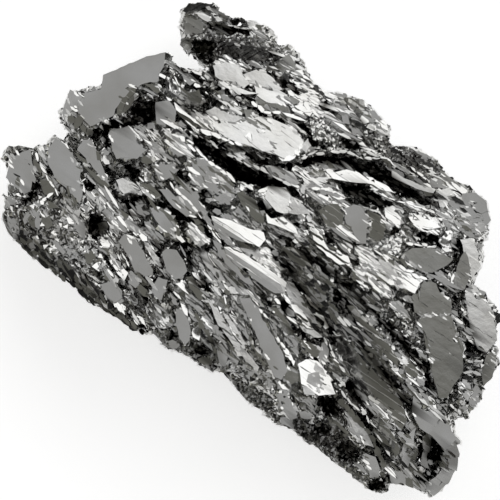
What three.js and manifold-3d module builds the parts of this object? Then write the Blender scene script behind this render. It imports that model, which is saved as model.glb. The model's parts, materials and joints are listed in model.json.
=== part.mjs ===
// A tungsten specimen: one broken lump of metal, a fan of long blades that
// grew together. It lies on a cleavage face, its long axis on X.
import * as THREE from 'three';
import { ConvexGeometry } from 'three/addons/geometries/ConvexGeometry.js';
import { mergeVertices } from 'three/addons/utils/BufferGeometryUtils.js';
import Module from 'manifold-3d';

// Driving dimensions, in millimetres and degrees.
const LENGTH = 53; // of the whole lump, along the blades
const WIDTH = 33; // across the blades, side crystals included
const THICKNESS = 16.6; // of the body, before its crystals stand out of it
const RIM_HEIGHT = 7.4; // of the widest outline above the rest face
const REST_LENGTH = 22; // of the flat face that it rests on
const REST_WIDTH = 12;
const BLADE_SLOPE = 33.8; // how far the long axis falls to the right in the plan
const CLEARANCE = 0.5; // of everything but the rest face above the surface

// Plan places are [x, y] in mm from a corner of a 50 mm square, x to the right
// and y down. The body's middle in that square:
const MIDDLE = [24.2, 25.3];

const DEGREE = Math.PI / 180;
const AXIS = [Math.cos(BLADE_SLOPE * DEGREE), Math.sin(BLADE_SLOPE * DEGREE)];

// A repeatable stream of numbers from 0 to 1, so that the lump is always the same.
let seed = 74;
function chance() {
  seed = (seed * 1664525 + 1013904223) % 4294967296;
  return seed / 4294967296;
}
const between = (low, high) => low + (high - low) * chance();

// How far a plan place lies along and across the long axis from the middle.
function along(x, y) {
  return (x - MIDDLE[0]) * AXIS[0] + (y - MIDDLE[1]) * AXIS[1];
}
function across(x, y) {
  return (x - MIDDLE[0]) * AXIS[1] - (y - MIDDLE[1]) * AXIS[0];
}

// 1 in the middle of the plan and 0 at its rim, with a flat top and full ends.
function fullness(x, y) {
  const end = Math.abs(along(x, y) / (LENGTH * 0.55)) ** 3;
  const side = Math.abs(across(x, y) / (WIDTH * 0.53)) ** 2.4;
  return Math.max(0, 1 - end - side) ** 0.65;
}
const upperHeight = (x, y) => RIM_HEIGHT + (THICKNESS - RIM_HEIGHT) * fullness(x, y);
function lowerHeight(x, y) {
  return Math.max(CLEARANCE, RIM_HEIGHT * (1 - 1.25 * fullness(x, y)));
}

// The blades fan out: shallow at the upper right edge, steep at the lower left.
const fanSlope = (x, y) => (43 - 1.15 * across(x, y)) * DEGREE;

const grown = [];
const broken = [];
const regrown = []; // in the hollows, after they broke open

// Corners are [x, y, z] with z up from the rest face.
function hull(corners) {
  const placed = corners.map(([x, y, z]) => {
    return new THREE.Vector3(x - MIDDLE[0], MIDDLE[1] - y, z);
  });
  return new ConvexGeometry(placed);
}

function middleOf(outline) {
  const sum = outline.reduce((total, [x, y]) => [total[0] + x, total[1] + y], [0, 0]);
  return [sum[0] / outline.length, sum[1] / outline.length];
}

// How a flat face leans: the bearing it falls towards, clockwise from the
// plan's top, and how steeply, in degrees.
function lean(bearing, steepness) {
  const fall = Math.tan(steepness * DEGREE);
  return [Math.sin(bearing * DEGREE) * fall, -Math.cos(bearing * DEGREE) * fall];
}
const LEVEL = lean(34, 2);
const BRIGHT = lean(34, 19);
const PALE = lean(34, 10);
const SHADED = lean(214, 15);
const DARK = lean(214, 24);
const LOWERED = lean(170, 26);

// A crystal that shows one flat face: the outline lies in the face's plane, and
// the sides spread a little as they go down into the body.
function facetHull(lift, fall, outline, depth, spread) {
  const [cx, cy] = middleOf(outline);
  const height = upperHeight(cx, cy) + lift;
  const corners = [];
  outline.forEach(([x, y], k) => {
    const z = height - fall[0] * (x - cx) - fall[1] * (y - cy);
    corners.push([x, y, z]);
    if (k % 2 === 0) {
      const grow = 1 + spread / Math.max(Math.hypot(x - cx, y - cy), 0.5);
      const foot = Math.max(z - depth, CLEARANCE + 0.3);
      corners.push([cx + (x - cx) * grow, cy + (y - cy) * grow, foot]);
    }
  });
  return hull(corners);
}
function facet(lift, fall, outline, depth = 2.8, spread = 0.7) {
  grown.push(facetHull(lift, fall, outline, depth, spread));
}
function innerFacet(lift, fall, outline) {
  regrown.push(facetHull(lift, fall, outline, 3, 0.6));
}

// A long pointed blade with a ridge along its back. Its two flanks fall away
// from the ridge, and tip says where the ridge stands, from -1 to 1 across it.
function bladeHull(from, to, width, lift, tip, depth) {
  const run = [to[0] - from[0], to[1] - from[1]];
  const length = Math.hypot(run[0], run[1]);
  const side = [run[1] / length, -run[0] / length];
  const corners = [];
  const add = (t, offset, rise) => {
    const x = from[0] + run[0] * t;
    const y = from[1] + run[1] * t;
    const z = Math.max(upperHeight(x, y) + lift + rise, CLEARANCE + 0.3);
    corners.push([x + side[0] * offset, y + side[1] * offset, z]);
  };
  add(0, 0, -0.35 * width - 0.2);
  add(1, 0, -0.35 * width - 0.2);
  add(0.2, tip * width * 0.45, 0);
  add(0.78, tip * width * 0.45, 0);
  add(0.42, width / 2, -0.32 * width);
  add(0.58, -width / 2, -0.32 * width);
  add(0.5, 0, -depth);
  return hull(corners);
}
function blade(from, to, width, lift, tip = 0, depth = 3) {
  grown.push(bladeHull(from, to, width, lift, tip, depth));
}
function innerBlade(from, to, width, lift, tip = 0) {
  regrown.push(bladeHull(from, to, width, lift, tip, 3.5));
}

// A narrow cleft from place to place, widest near its middle, with steep walls.
function cleft(from, to, width, depth) {
  const run = [to[0] - from[0], to[1] - from[1]];
  const length = Math.hypot(run[0], run[1]);
  const side = [run[1] / length, -run[0] / length];
  const corners = [];
  const add = (t, offset, rise) => {
    const x = from[0] + run[0] * t;
    const y = from[1] + run[1] * t;
    corners.push([x + side[0] * offset, y + side[1] * offset, upperHeight(x, y) + rise]);
  };
  const OPEN_ABOVE = 3;
  for (const rise of [OPEN_ABOVE, -0.25 * depth]) {
    add(0, 0, rise);
    add(0.4, width / 2, rise);
    add(0.55, -width / 2, rise);
    add(1, 0, rise);
  }
  add(0.3, -0.2 * width, -depth);
  add(0.7, -0.2 * width, -depth);
  broken.push(hull(corners));
}

// A pit with an uneven edge, narrower at its floor, turned along the blades.
function pit([x, y], radius, depth, stretch = 1) {
  const SIDES = 4;
  const turn = fanSlope(x, y);
  const base = upperHeight(x, y);
  const corners = [];
  for (let k = 0; k < SIDES; k += 1) {
    const angle = ((k + between(-0.25, 0.25)) / SIDES) * 2 * Math.PI;
    const u = Math.cos(angle) * radius * stretch;
    const v = Math.sin(angle) * radius;
    const px = u * Math.cos(turn) - v * Math.sin(turn);
    const py = u * Math.sin(turn) + v * Math.cos(turn);
    corners.push([x + px * 1.3, y + py * 1.3, base + 3]);
    corners.push([x + px * 0.5, y + py * 0.5, base - depth]);
  }
  broken.push(hull(corners));
}

// A small rough crystal: a squashed, jittered block, turned along the blades.
function lump([x, y], size, lift, stretch = 1.3) {
  const turn = fanSlope(x, y) + between(-0.5, 0.5);
  const base = Math.max(upperHeight(x, y) + lift, CLEARANCE + size);
  const corners = [];
  const SIDES = 4;
  for (let k = 0; k < SIDES; k += 1) {
    const angle = ((k + between(-0.3, 0.3)) / SIDES) * 2 * Math.PI;
    const reach = size * between(0.8, 1.15);
    const u = Math.cos(angle) * reach * stretch;
    const v = Math.sin(angle) * reach;
    const px = u * Math.cos(turn) - v * Math.sin(turn);
    const py = u * Math.sin(turn) + v * Math.cos(turn);
    corners.push([x + px, y + py, base + size * between(-0.35, 0.2)]);
    if (k % 2 === 0) {
      corners.push([x + px * 0.4, y + py * 0.4, base + size * between(0.55, 0.8)]);
    }
  }
  corners.push([x, y, base - size * 1.4]);
  grown.push(hull(corners));
}

// The outline of the lump without its knob, clockwise from the left lobe.
const RIM = [
  [0.3, 15.9], [1.3, 14.7], [4.4, 15.1], [6.4, 14.0], [6.9, 13.0], [6.8, 11.4],
  [7.6, 9.3], [10.0, 9.2], [10.8, 8.0], [12.9, 7.2], [16.4, 5.3], [17.9, 6.7],
  [20.4, 6.9], [22.4, 6.4], [27.6, 5.2], [29.1, 4.2], [30.1, 5.6], [30.7, 7.4],
  [32.2, 8.9], [34.2, 9.1], [36.4, 9.9], [39.0, 12.8], [39.1, 14.4], [41.5, 14.7],
  [43.7, 15.9], [45.9, 18.5], [47.4, 18.9], [48.6, 20.1], [49.2, 21.8], [49.1, 23.2],
  [48.4, 24.3], [48.4, 26.2], [47.4, 29.0], [48.7, 30.8], [49.7, 31.0], [49.8, 33.6],
  [49.3, 36.1], [47.9, 40.3], [46.7, 41.8], [45.6, 42.1], [45.3, 43.5], [45.9, 45.3],
  [45.2, 47.6], [43.2, 49.9], [42.1, 49.1], [39.1, 47.9], [38.5, 49.6], [37.0, 49.1],
  [29.5, 43.3], [27.0, 42.2], [26.5, 41.2], [24.8, 40.4], [22.2, 37.4], [20.5, 36.9],
  [18.8, 35.7], [16.8, 35.0], [15.1, 33.3], [14.2, 33.6], [9.7, 30.8], [7.5, 28.9],
  [3.0, 25.5], [0.8, 23.5], [0.1, 21.8], [1.0, 18.0],
];
const SPINE_HALF = 14; // of the line inside the lump that its outline shrinks to

// A place moved from the outline towards the spine by a share of its way there.
function inset([x, y], share) {
  const reach = Math.max(-SPINE_HALF, Math.min(SPINE_HALF, along(x, y)));
  const sx = MIDDLE[0] + AXIS[0] * reach;
  const sy = MIDDLE[1] + AXIS[1] * reach;
  return [x + (sx - x) * share, y + (sy - y) * share];
}

// The broken edge all round: three rings of corners, closed above and below.
function rim() {
  const count = RIM.length;
  const rings = [
    { share: 0.14, rise: (k) => -2.3 + 0.5 * Math.sin(k * 2.3) },
    { share: 0, rise: (k) => 1.3 * Math.sin(k * 1.9) },
    { share: 0.11, rise: (k) => 2.4 + 0.8 * Math.sin(k * 1.3) },
  ];
  const positions = [];
  for (const { share, rise } of rings) {
    RIM.forEach((place, k) => {
      const [x, y] = inset(place, share * between(0.8, 1.2));
      positions.push(x - MIDDLE[0], MIDDLE[1] - y, RIM_HEIGHT + rise(k));
    });
  }
  const faces = [];
  for (let ring = 0; ring < rings.length - 1; ring += 1) {
    for (let k = 0; k < count; k += 1) {
      const [a, b] = [ring * count + k, ring * count + ((k + 1) % count)];
      faces.push(a, a + count, b, b, a + count, b + count);
    }
  }
  const cap = THREE.ShapeUtils.triangulateShape(RIM.map(([x, y]) => new THREE.Vector2(x, -y)), []);
  const top = (rings.length - 1) * count;
  for (const [a, b, c] of cap) {
    faces.push(a, c, b, top + a, top + b, top + c);
  }
  const geometry = new THREE.BufferGeometry();
  geometry.setAttribute('position', new THREE.Float32BufferAttribute(positions, 3));
  geometry.setIndex(faces);
  grown.push(geometry);
}

// The solid body under the crystals, in convex stretches that overlap.
const BODY = [
  [[1.6, 16.6], [9, 14], [14, 20], [16, 32.4], [9.8, 29], [1.4, 22.4]],
  [[7.9, 12], [14.8, 7.4], [16.9, 7], [21, 9.6], [24, 18], [15, 26]],
  [[20.5, 9.4], [27.6, 6], [35, 11.4], [38, 14], [34, 34], [16, 33]],
  [[36, 12.4], [46.5, 20], [48, 22], [47.2, 26], [38, 36], [28, 24]],
  [[38, 24], [46.4, 28.2], [48.6, 32], [45.4, 41], [38.5, 46.6], [30, 38]],
  [[14, 26], [30, 26], [40, 34], [38.6, 47], [27, 40.4], [15, 32.4]],
  [[19, 1.2], [21.4, 1.1], [26.8, 3.6], [28.6, 6.4], [23, 9.4], [19.4, 4.6]],
];
function body() {
  for (const outline of BODY) {
    const [cx, cy] = middleOf(outline);
    const corners = [];
    outline.forEach(([x, y], k) => {
      const share = k % 2 ? 0.5 : 0.72;
      const px = cx + (x - cx) * share;
      const py = cy + (y - cy) * share;
      corners.push([x, y, RIM_HEIGHT]);
      corners.push([px, py, upperHeight(px, py) - between(0.7, 1.1)]);
      corners.push([px, py, lowerHeight(px, py) + between(0.1, 0.6)]);
    });
    grown.push(hull(corners));
  }
}

// The flat cleavage face underneath, and the metal that carries it.
function restFace() {
  const corners = [];
  const outline = [
    [-0.5, -0.3], [-0.36, -0.5], [0.14, -0.5], [0.5, -0.22], [0.48, 0.3], [0.2, 0.5], [-0.4, 0.42],
  ];
  for (const [u, v] of outline) {
    const place = (length, width) => {
      const a = u * length;
      const b = v * width;
      const x = MIDDLE[0] + a * AXIS[0] + b * AXIS[1];
      return [x, MIDDLE[1] + a * AXIS[1] - b * AXIS[0]];
    };
    corners.push([...place(REST_LENGTH, REST_WIDTH), 0]);
    corners.push([...place(REST_LENGTH + 14, REST_WIDTH + 9), 3.4]);
  }
  grown.push(hull(corners));
}

// Broken plates on the underside, which slopes up from the rest face to the rim.
function underside() {
  const ROWS = [[-11.5, 7], [-6.8, 7], [6.8, 7], [11.5, 7]]; // across, and how many
  for (const [row, plates] of ROWS) {
    for (let k = 0; k < plates; k += 1) {
      const a = ((k + 0.5) / plates - 0.5) * (LENGTH - 9) + between(-1, 1);
      const b = row + between(-0.8, 0.8);
      const x = MIDDLE[0] + a * AXIS[0] + b * AXIS[1];
      const y = MIDDLE[1] + a * AXIS[1] - b * AXIS[0];
      const turn = fanSlope(x, y);
      const long = between(2.6, 3.8);
      const wide = between(1.4, 2.2);
      const corners = [[x, y, lowerHeight(x, y) + 3.5]];
      for (const [u, v] of [[-1, 0.3], [-0.2, 1], [0.9, 0.7], [1, -0.4], [-0.1, -1]]) {
        const px = x + u * long * Math.cos(turn) - v * wide * Math.sin(turn);
        const py = y + u * long * Math.sin(turn) + v * wide * Math.cos(turn);
        const z = lowerHeight(px, py) * 0.8 + between(-0.7, 0.5);
        corners.push([px, py, Math.max(z, CLEARANCE)]);
      }
      grown.push(hull(corners));
    }
  }
}

// Upper left: a smooth level block over a dark ledge and a rough pit.
function upperLeftBlock() {
  facet(0.85, LEVEL, [[11.4, 8.6], [15, 6.5], [16.8, 6.2], [16.6, 7.3], [16.1, 8.6], [11.9, 9.3]]);
  facet(0.78, lean(300, 3), [[7.7, 9.9], [10.9, 9.3], [11.9, 9.3], [11.3, 12.3], [9.6, 13.1],
    [8.4, 12]]);
  facet(0.85, lean(300, 9), [[7, 11.4], [7.6, 9.9], [8.4, 10.6], [7.6, 11.9], [7.2, 13]]);
  facet(0.33, SHADED, [[12, 9.5], [13.6, 9.2], [14.2, 9.9], [13.6, 11.3], [12.3, 12],
    [11.6, 11.2]]);
  facet(0.2, LOWERED, [[7.5, 12.6], [8.4, 12.5], [9.6, 13.4], [9.8, 14.3], [8.6, 14.3],
    [7.7, 13.7]]);
  blade([9.4, 13.9], [13.2, 11.9], 1.1, 0.5, 0.4);
  facet(0.52, LEVEL, [[15.8, 11.4], [16.5, 10.8], [17.6, 11.3], [17.8, 12.5], [16.8, 13],
    [15.9, 12.6]]);
  facet(0.2, DARK, [[18.3, 9.9], [19.6, 9.6], [20.5, 10.6], [20.2, 11.9], [18.8, 11.8]]);
  blade([16.2, 7.7], [19.2, 10.2], 1.0, 0.9, -0.3);
  blade([17.1, 7.2], [20.9, 9.4], 1.0, 0.9, 0.2);
  blade([16.3, 9.2], [18.6, 10.9], 0.9, 0.6, 0.3);
  pit([14.8, 11.6], 1.15, 2.6, 1.2);
  pit([14.9, 9.3], 0.5, 1.4, 2.0);
}

// Left: a lobe of level faces, radiating crystals and a rough end.
function leftLobe() {
  facet(0.65, LEVEL, [[1.8, 16.4], [3.6, 15.4], [4, 17.8], [3.3, 19.6], [2.3, 18.8], [1.7, 17.6]]);
  facet(0.26, lean(330, 34), [[1.3, 15.2], [3.7, 15.2], [3.4, 15.9], [1.7, 16.5], [1.1, 16]]);
  facet(0.72, lean(250, 4), [[6.1, 14.3], [7.7, 15.3], [8.8, 17.2], [8.5, 20.5], [7.7, 18.8],
    [6.5, 18.5], [5.4, 15.5]]);
  facet(0.65, LEVEL, [[9.1, 14.4], [10, 14.6], [10.2, 15.8], [11.5, 18.6], [10.5, 18],
    [8.6, 15.5]]);
  facet(0.45, PALE, [[4.4, 15.4], [5.1, 14.8], [5.5, 15.6], [5.6, 16.8], [5, 17.6], [4.4, 16.9]]);
  facet(0.39, SHADED, [[4.6, 18.1], [5.7, 17.7], [6.4, 18.8], [6, 19.8], [4.9, 19.7]]);
  facet(0.2, DARK, [[2.2, 19.8], [3.4, 19.8], [3.9, 20.6], [2.9, 21.2], [2, 20.8]]);
  cleft([7.4, 14.9], [11.2, 18.3], 0.6, 1.8);
  cleft([3.7, 15.2], [5.0, 18.2], 0.5, 1.5);
  pit([9.5, 18.8], 0.75, 2.2);
  const RAYS = 6;
  for (let k = 0; k < RAYS; k += 1) {
    const angle = (k / RAYS) * 2 * Math.PI + 0.3;
    const tip = [4.6 + Math.cos(angle) * 1.8, 21.2 + Math.sin(angle) * 1.8];
    blade([4.6, 21.2], tip, 1.0, 0.5, 0.3);
  }
  for (let k = 0; k < 4; k += 1) {
    lump([between(0.9, 2.2), 18.8 + k * 1.25], between(0.55, 0.8), between(0, 0.4));
  }
}

// Middle left: small level faces broken by rough holes, and a long crease.
function middleLeft() {
  facet(0.72, LEVEL, [[11.7, 13.9], [13.2, 13.2], [14.9, 15.4], [14.2, 16.3], [12.4, 16.3],
    [11.6, 14.7]]);
  facet(0.65, LEVEL, [[15.8, 16.9], [17.6, 16.7], [18.2, 17.5], [17.5, 18.3], [16, 18.1]]);
  blade([14.2, 18.4], [16.9, 20.6], 1.5, 0.7, 0.5);
  facet(0.52, PALE, [[12.2, 18.7], [13.4, 18.2], [14.8, 19], [14.6, 19.6], [13.3, 19.4],
    [12.4, 19.9]]);
  blade([13.0, 20.8], [14.6, 23.0], 0.9, 1.0, -0.4);
  facet(0.59, lean(120, 8), [[18.8, 16.3], [20.6, 16.1], [22.6, 17.6], [24, 19.4], [23.3, 20.8],
    [21, 20.4], [19.4, 18.8]]);
  facet(0.52, PALE, [[16.6, 13.4], [18.4, 13.2], [19.7, 14.6], [19.2, 15.8], [17.4, 15.6]]);
  facet(0.59, LEVEL, [[17.6, 18.9], [19.2, 19.2], [21.2, 21.4], [20.4, 22.2], [18.6, 20.9]]);
  facet(0.39, SHADED, [[15.6, 21], [17.2, 21.2], [18.6, 23.2], [17.7, 24.2], [16.2, 22.8]]);
  facet(0.52, PALE, [[18.9, 22.3], [20.2, 22.7], [21.3, 24.2], [20.6, 24.8], [19.3, 23.9]]);
  pit([13.5, 17.3], 1.05, 2.6, 1.1);
  pit([21, 19.7], 0.7, 1.4);
  pit([10.1, 22.6], 1.1, 2.4, 1.1);
  cleft([13.2, 19.9], [15.2, 20.7], 0.6, 1.8);
  cleft([9.0, 15.6], [11.9, 19.4], 0.35, 1.4);
  cleft([11.7, 19.2], [14.8, 23.4], 0.45, 1.6);
}

// The knob that stands off the upper edge, with a dark hollow in its back.
function knob() {
  facet(1.04, lean(350, 30), [[18.4, 0.9], [19.2, 0.5], [21.3, 0.7], [21.6, 1.5], [19.4, 1.7]], 3);
  facet(0.91, LEVEL, [[18.4, 1.8], [20, 1.7], [21.2, 2.4], [20.9, 3.6], [18.7, 3.7]], 3);
  blade([20.4, 0.9], [24.6, 3.1], 0.9, 2.0, 0.4);
  facet(0.72, DARK, [[21.2, 2.9], [22.6, 2.6], [24.2, 3.2], [23.8, 4], [21.6, 3.9]], 3);
  facet(0.78, SHADED, [[24.8, 2.4], [26.9, 3.1], [27.3, 4.3], [25.8, 4.9], [24.4, 4]], 3);
  facet(0.39, LOWERED, [[19, 4.1], [21.4, 4], [21.8, 5.4], [20.4, 5.7], [19.2, 5.1]], 3);
  facet(0.39, DARK, [[22, 4.4], [24.2, 4.5], [24.4, 5.6], [22.4, 5.9]], 3);
  facet(0.33, lean(180, 20), [[24.8, 5.2], [27, 4.9], [28.4, 5.6], [27.4, 6.6], [25, 6.4]], 3);
  const LEFT = [[18.5, 5.1], [18, 2.1], [18.1, 1], [18.9, 0.3], [21.4, 0.5], [22.6, 3], [21.2, 7]];
  const RIGHT = [[21.8, 2.2], [23.4, 1.6], [25.6, 2.1], [27.5, 3], [27.8, 6.6], [21.4, 7.2], [20.3, 6.2]];
  for (const outline of [LEFT, RIGHT]) {
    const [cx, cy] = middleOf(outline);
    const corners = [];
    for (const [x, y] of outline) {
      corners.push([x, y, RIM_HEIGHT + between(-0.6, 0.8)]);
      corners.push([cx + (x - cx) * 0.75, cy + (y - cy) * 0.75, RIM_HEIGHT + 2.2]);
      corners.push([cx + (x - cx) * 0.6, cy + (y - cy) * 0.6, RIM_HEIGHT - between(2.2, 3)]);
    }
    grown.push(hull(corners));
  }
  pit([23.8, 2.4], 0.8, 1.7, 1.2);
  cleft([21.4, 4.2], [27.8, 7.2], 0.5, 1.6);
}

// Upper middle: silky bright leaves over the first long black cleft.
function upperMiddle() {
  facet(0.52, BRIGHT, [[21.3, 6.7], [22.8, 6.2], [24.9, 6.7], [24.8, 7.4], [22.4, 7.6]]);
  facet(0.59, PALE, [[24.5, 7.8], [26.2, 7.3], [28.3, 8.2], [28.2, 9.2], [26.2, 9.4], [24.7, 8.8]]);
  facet(0.59, BRIGHT, [[22, 11], [23.2, 10.5], [24.2, 11.2], [23.4, 12], [22.2, 11.8]]);
  facet(0.78, lean(34, 14), [[20.6, 11.9], [26, 12.1], [29.4, 13.5], [30.4, 15.2], [28.9, 16.4],
    [22.7, 14.3], [20.8, 13]]);
  facet(0.72, BRIGHT, [[28.2, 8.4], [29.4, 8.1], [31.6, 9.6], [33, 11.4], [32, 12], [29.8, 10.8]]);
  facet(0.45, LEVEL, [[24.4, 11.5], [25.5, 11.4], [25.8, 12.6], [24.9, 13.2]]);
  facet(0.39, SHADED, [[18.1, 7.6], [19.7, 8], [20.8, 8.9], [20.2, 9.4], [18.7, 8.7]]);
  facet(0.59, LEVEL, [[21.4, 8.9], [23.6, 8.7], [24.3, 9.8], [22.6, 10.1], [21.5, 9.7]]);
  facet(0.52, SHADED, [[25.2, 10.1], [27.4, 10], [29.2, 11.4], [28.7, 12.2], [26.3, 11.4]]);
  blade([17.4, 10.7], [23.4, 15.1], 1.1, 1.3, 0.3);
  blade([18.8, 13.2], [23.2, 16.2], 1.0, 0.9, 0.2);
  blade([20.3, 9.6], [25.6, 11.9], 0.8, 1.0, 0.4);
  blade([27.6, 9.4], [31.8, 12.6], 0.9, 1.2, 0.3);
  blade([29.2, 11.8], [33.6, 14.8], 1.0, 1.1, 0.2);
  cleft([21.1, 8.6], [26.2, 10.5], 0.4, 1.4);
  cleft([25.8, 10.6], [29.6, 12.6], 0.4, 1.5);
  cleft([19.4, 14.4], [29.8, 19.7], 1.75, 3.6);
  innerBlade([22.9, 15.9], [29.6, 19.0], 0.7, 0.2, 0.2);
  facet(0.52, PALE, [[26.2, 16.9], [27.6, 17.1], [29.9, 18.3], [29.4, 18.8], [27.4, 18]]);
}

// Upper right: two more black clefts between bright ridges, and dark faces.
function upperRight() {
  blade([29.1, 5.2], [31.5, 9.3], 1.2, 0.7, -0.5);
  facet(0.39, DARK, [[28.2, 4.8], [29.3, 4.7], [30, 6], [29.2, 6.8], [28.2, 6]]);
  facet(0.45, DARK, [[34.2, 9.8], [35.6, 9.8], [36.5, 10.6], [36.4, 11.6], [35.2, 11.6]]);
  blade([33.4, 9.8], [37.7, 13.6], 0.8, 1.1, 0.3);
  cleft([34.5, 10.9], [37.6, 13.6], 0.4, 1.4);
  pit([34.6, 14.6], 0.7, 1.8, 1.8);
  for (let k = 0; k < 5; k += 1) {
    lump([30.4 + k * 0.85, 12 + between(-0.5, 1.7) + k * 0.32], between(0.5, 0.65), between(0.4, 0.7));
  }
  for (const place of [[38.7, 15.0], [39.9, 15.7]]) {
    lump(place, 0.85, 0.5);
  }
  blade([30.6, 15.7], [35.4, 15.4], 0.9, 1.3, 0.5);
  blade([34.6, 15.2], [39.4, 16.8], 0.9, 1.2, 0.5);
  blade([39.6, 17.2], [44.2, 20.0], 1.0, 1.2, 0.5);
  cleft([29.8, 16.9], [36.6, 16.8], 1.1, 2.8);
  cleft([35.4, 16.4], [44.2, 21.3], 1.7, 3.4);
  innerBlade([32.2, 17.8], [37.6, 18.4], 1.2, 0.7, 0.5);
  cleft([33.2, 18.8], [39.3, 21.0], 1.9, 3.2);
  const STRIPES = 3;
  for (let k = 0; k < STRIPES; k += 1) {
    blade([29.9 + k * 1.0, 19.1 - k * 0.2], [34.0 + k * 0.7, 21.7 - k * 0.7], 0.95, 0.7, 0.4);
  }
  facet(0.65, SHADED, [[31.9, 21.2], [32.9, 20.8], [33.8, 21.4], [34, 22.3], [33.4, 23],
    [32.3, 22.9]]);
  facet(0.65, LEVEL, [[34.3, 20.9], [35.8, 21], [36.3, 22.4], [36, 23.6], [34.8, 23.2]]);
  facet(0.45, SHADED, [[36.5, 21.7], [37.6, 21.6], [38, 22.6], [37.6, 23.8], [36.5, 23.6]]);
  facet(0.72, BRIGHT, [[38.1, 21.1], [39.2, 20.9], [39.9, 22], [39.3, 23.2], [38.2, 22.8]]);
  facet(0.72, BRIGHT, [[40.4, 21.3], [42.4, 21.6], [44, 22.8], [43.4, 23.6], [41.4, 23.2]]);
  facet(0.59, PALE, [[39.4, 19.2], [41, 19.5], [42.6, 20.8], [42, 21.3], [40.2, 20.6]]);
  cleft([41.0, 23.3], [43.8, 24.5], 0.7, 1.8);
  facet(0.59, SHADED, [[40.1, 25.7], [40.5, 24.9], [42.5, 24.8], [44.3, 25.8], [42.7, 27.1],
    [41.3, 26.8]]);
}

// Right end: small crystals, a fan-shaped dark face and a pale face beside it.
function rightEnd() {
  blade([43.2, 17.3], [46.4, 19.1], 1.0, 1.0, 0.3);
  blade([45.4, 18.4], [47.6, 19.4], 0.8, 0.9, 0.2);
  facet(0.52, LEVEL, [[45.9, 19.4], [47.5, 19.3], [48.6, 20.6], [47.6, 21.2], [46.1, 20.8]]);
  for (let k = 0; k < 5; k += 1) {
    lump([between(45.4, 48.3), 21.5 + k * 0.55], between(0.55, 0.75), between(0.2, 0.6));
  }
  facet(0.59, PALE, [[45.8, 24], [46.8, 23.9], [47.3, 25.4], [47.5, 26.6], [46.5, 26.7]]);
  facet(0.59, LEVEL, [[45.9, 25.6], [46.4, 26.4], [46.3, 27.8], [45.7, 28.8], [44.7, 29.2],
    [44.6, 28.6]]);
  pit([45.1, 25], 0.6, 1.8);
  blade([43.6, 26.2], [44.9, 29.0], 0.7, 0.9, -0.4);
  blade([42.9, 26.8], [44.2, 29.4], 0.7, 0.8, -0.4);
  facet(0.52, lean(236, 13), [[40.8, 29.4], [41.7, 28.2], [42.7, 28.2], [44.3, 30],
    [44.3, 31.1], [41.3, 31.4]]);
  facet(0.59, lean(228, 17), [[41.3, 31.6], [44.4, 31.3], [44.7, 33.5], [45.8, 34.6],
    [44, 38.8], [42.6, 36.9], [42.1, 33.2]]);
  facet(0.65, lean(60, 7), [[46.1, 28.9], [47.2, 28.7], [48.7, 31], [49, 33.3], [47.9, 35.1],
    [47.1, 34.4], [46.4, 32.2]]);
  blade([45.1, 29.2], [46.6, 33.9], 0.8, 0.8, -0.4);
  for (let k = 0; k < 3; k += 1) {
    blade([45.9 + k * 0.7, 34.5 + k * 0.1], [45.4 + k * 1.0, 38.2 - k * 0.1], 0.9, 0.7, k % 2 - 0.5);
  }
  facet(0.52, LEVEL, [[48.2, 35], [49.2, 34.6], [49.1, 36.2], [48.5, 38], [47.9, 37.4]]);
  facet(0.52, PALE, [[45.6, 37.8], [46.6, 37.6], [46.5, 39.2], [45.8, 39.7], [45.3, 38.8]]);
  blade([45.3, 39.4], [46.7, 42.0], 0.9, 0.8, 0.3);
  blade([44.5, 39.6], [45.4, 42.0], 0.8, 0.9, 0.3);
}

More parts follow.
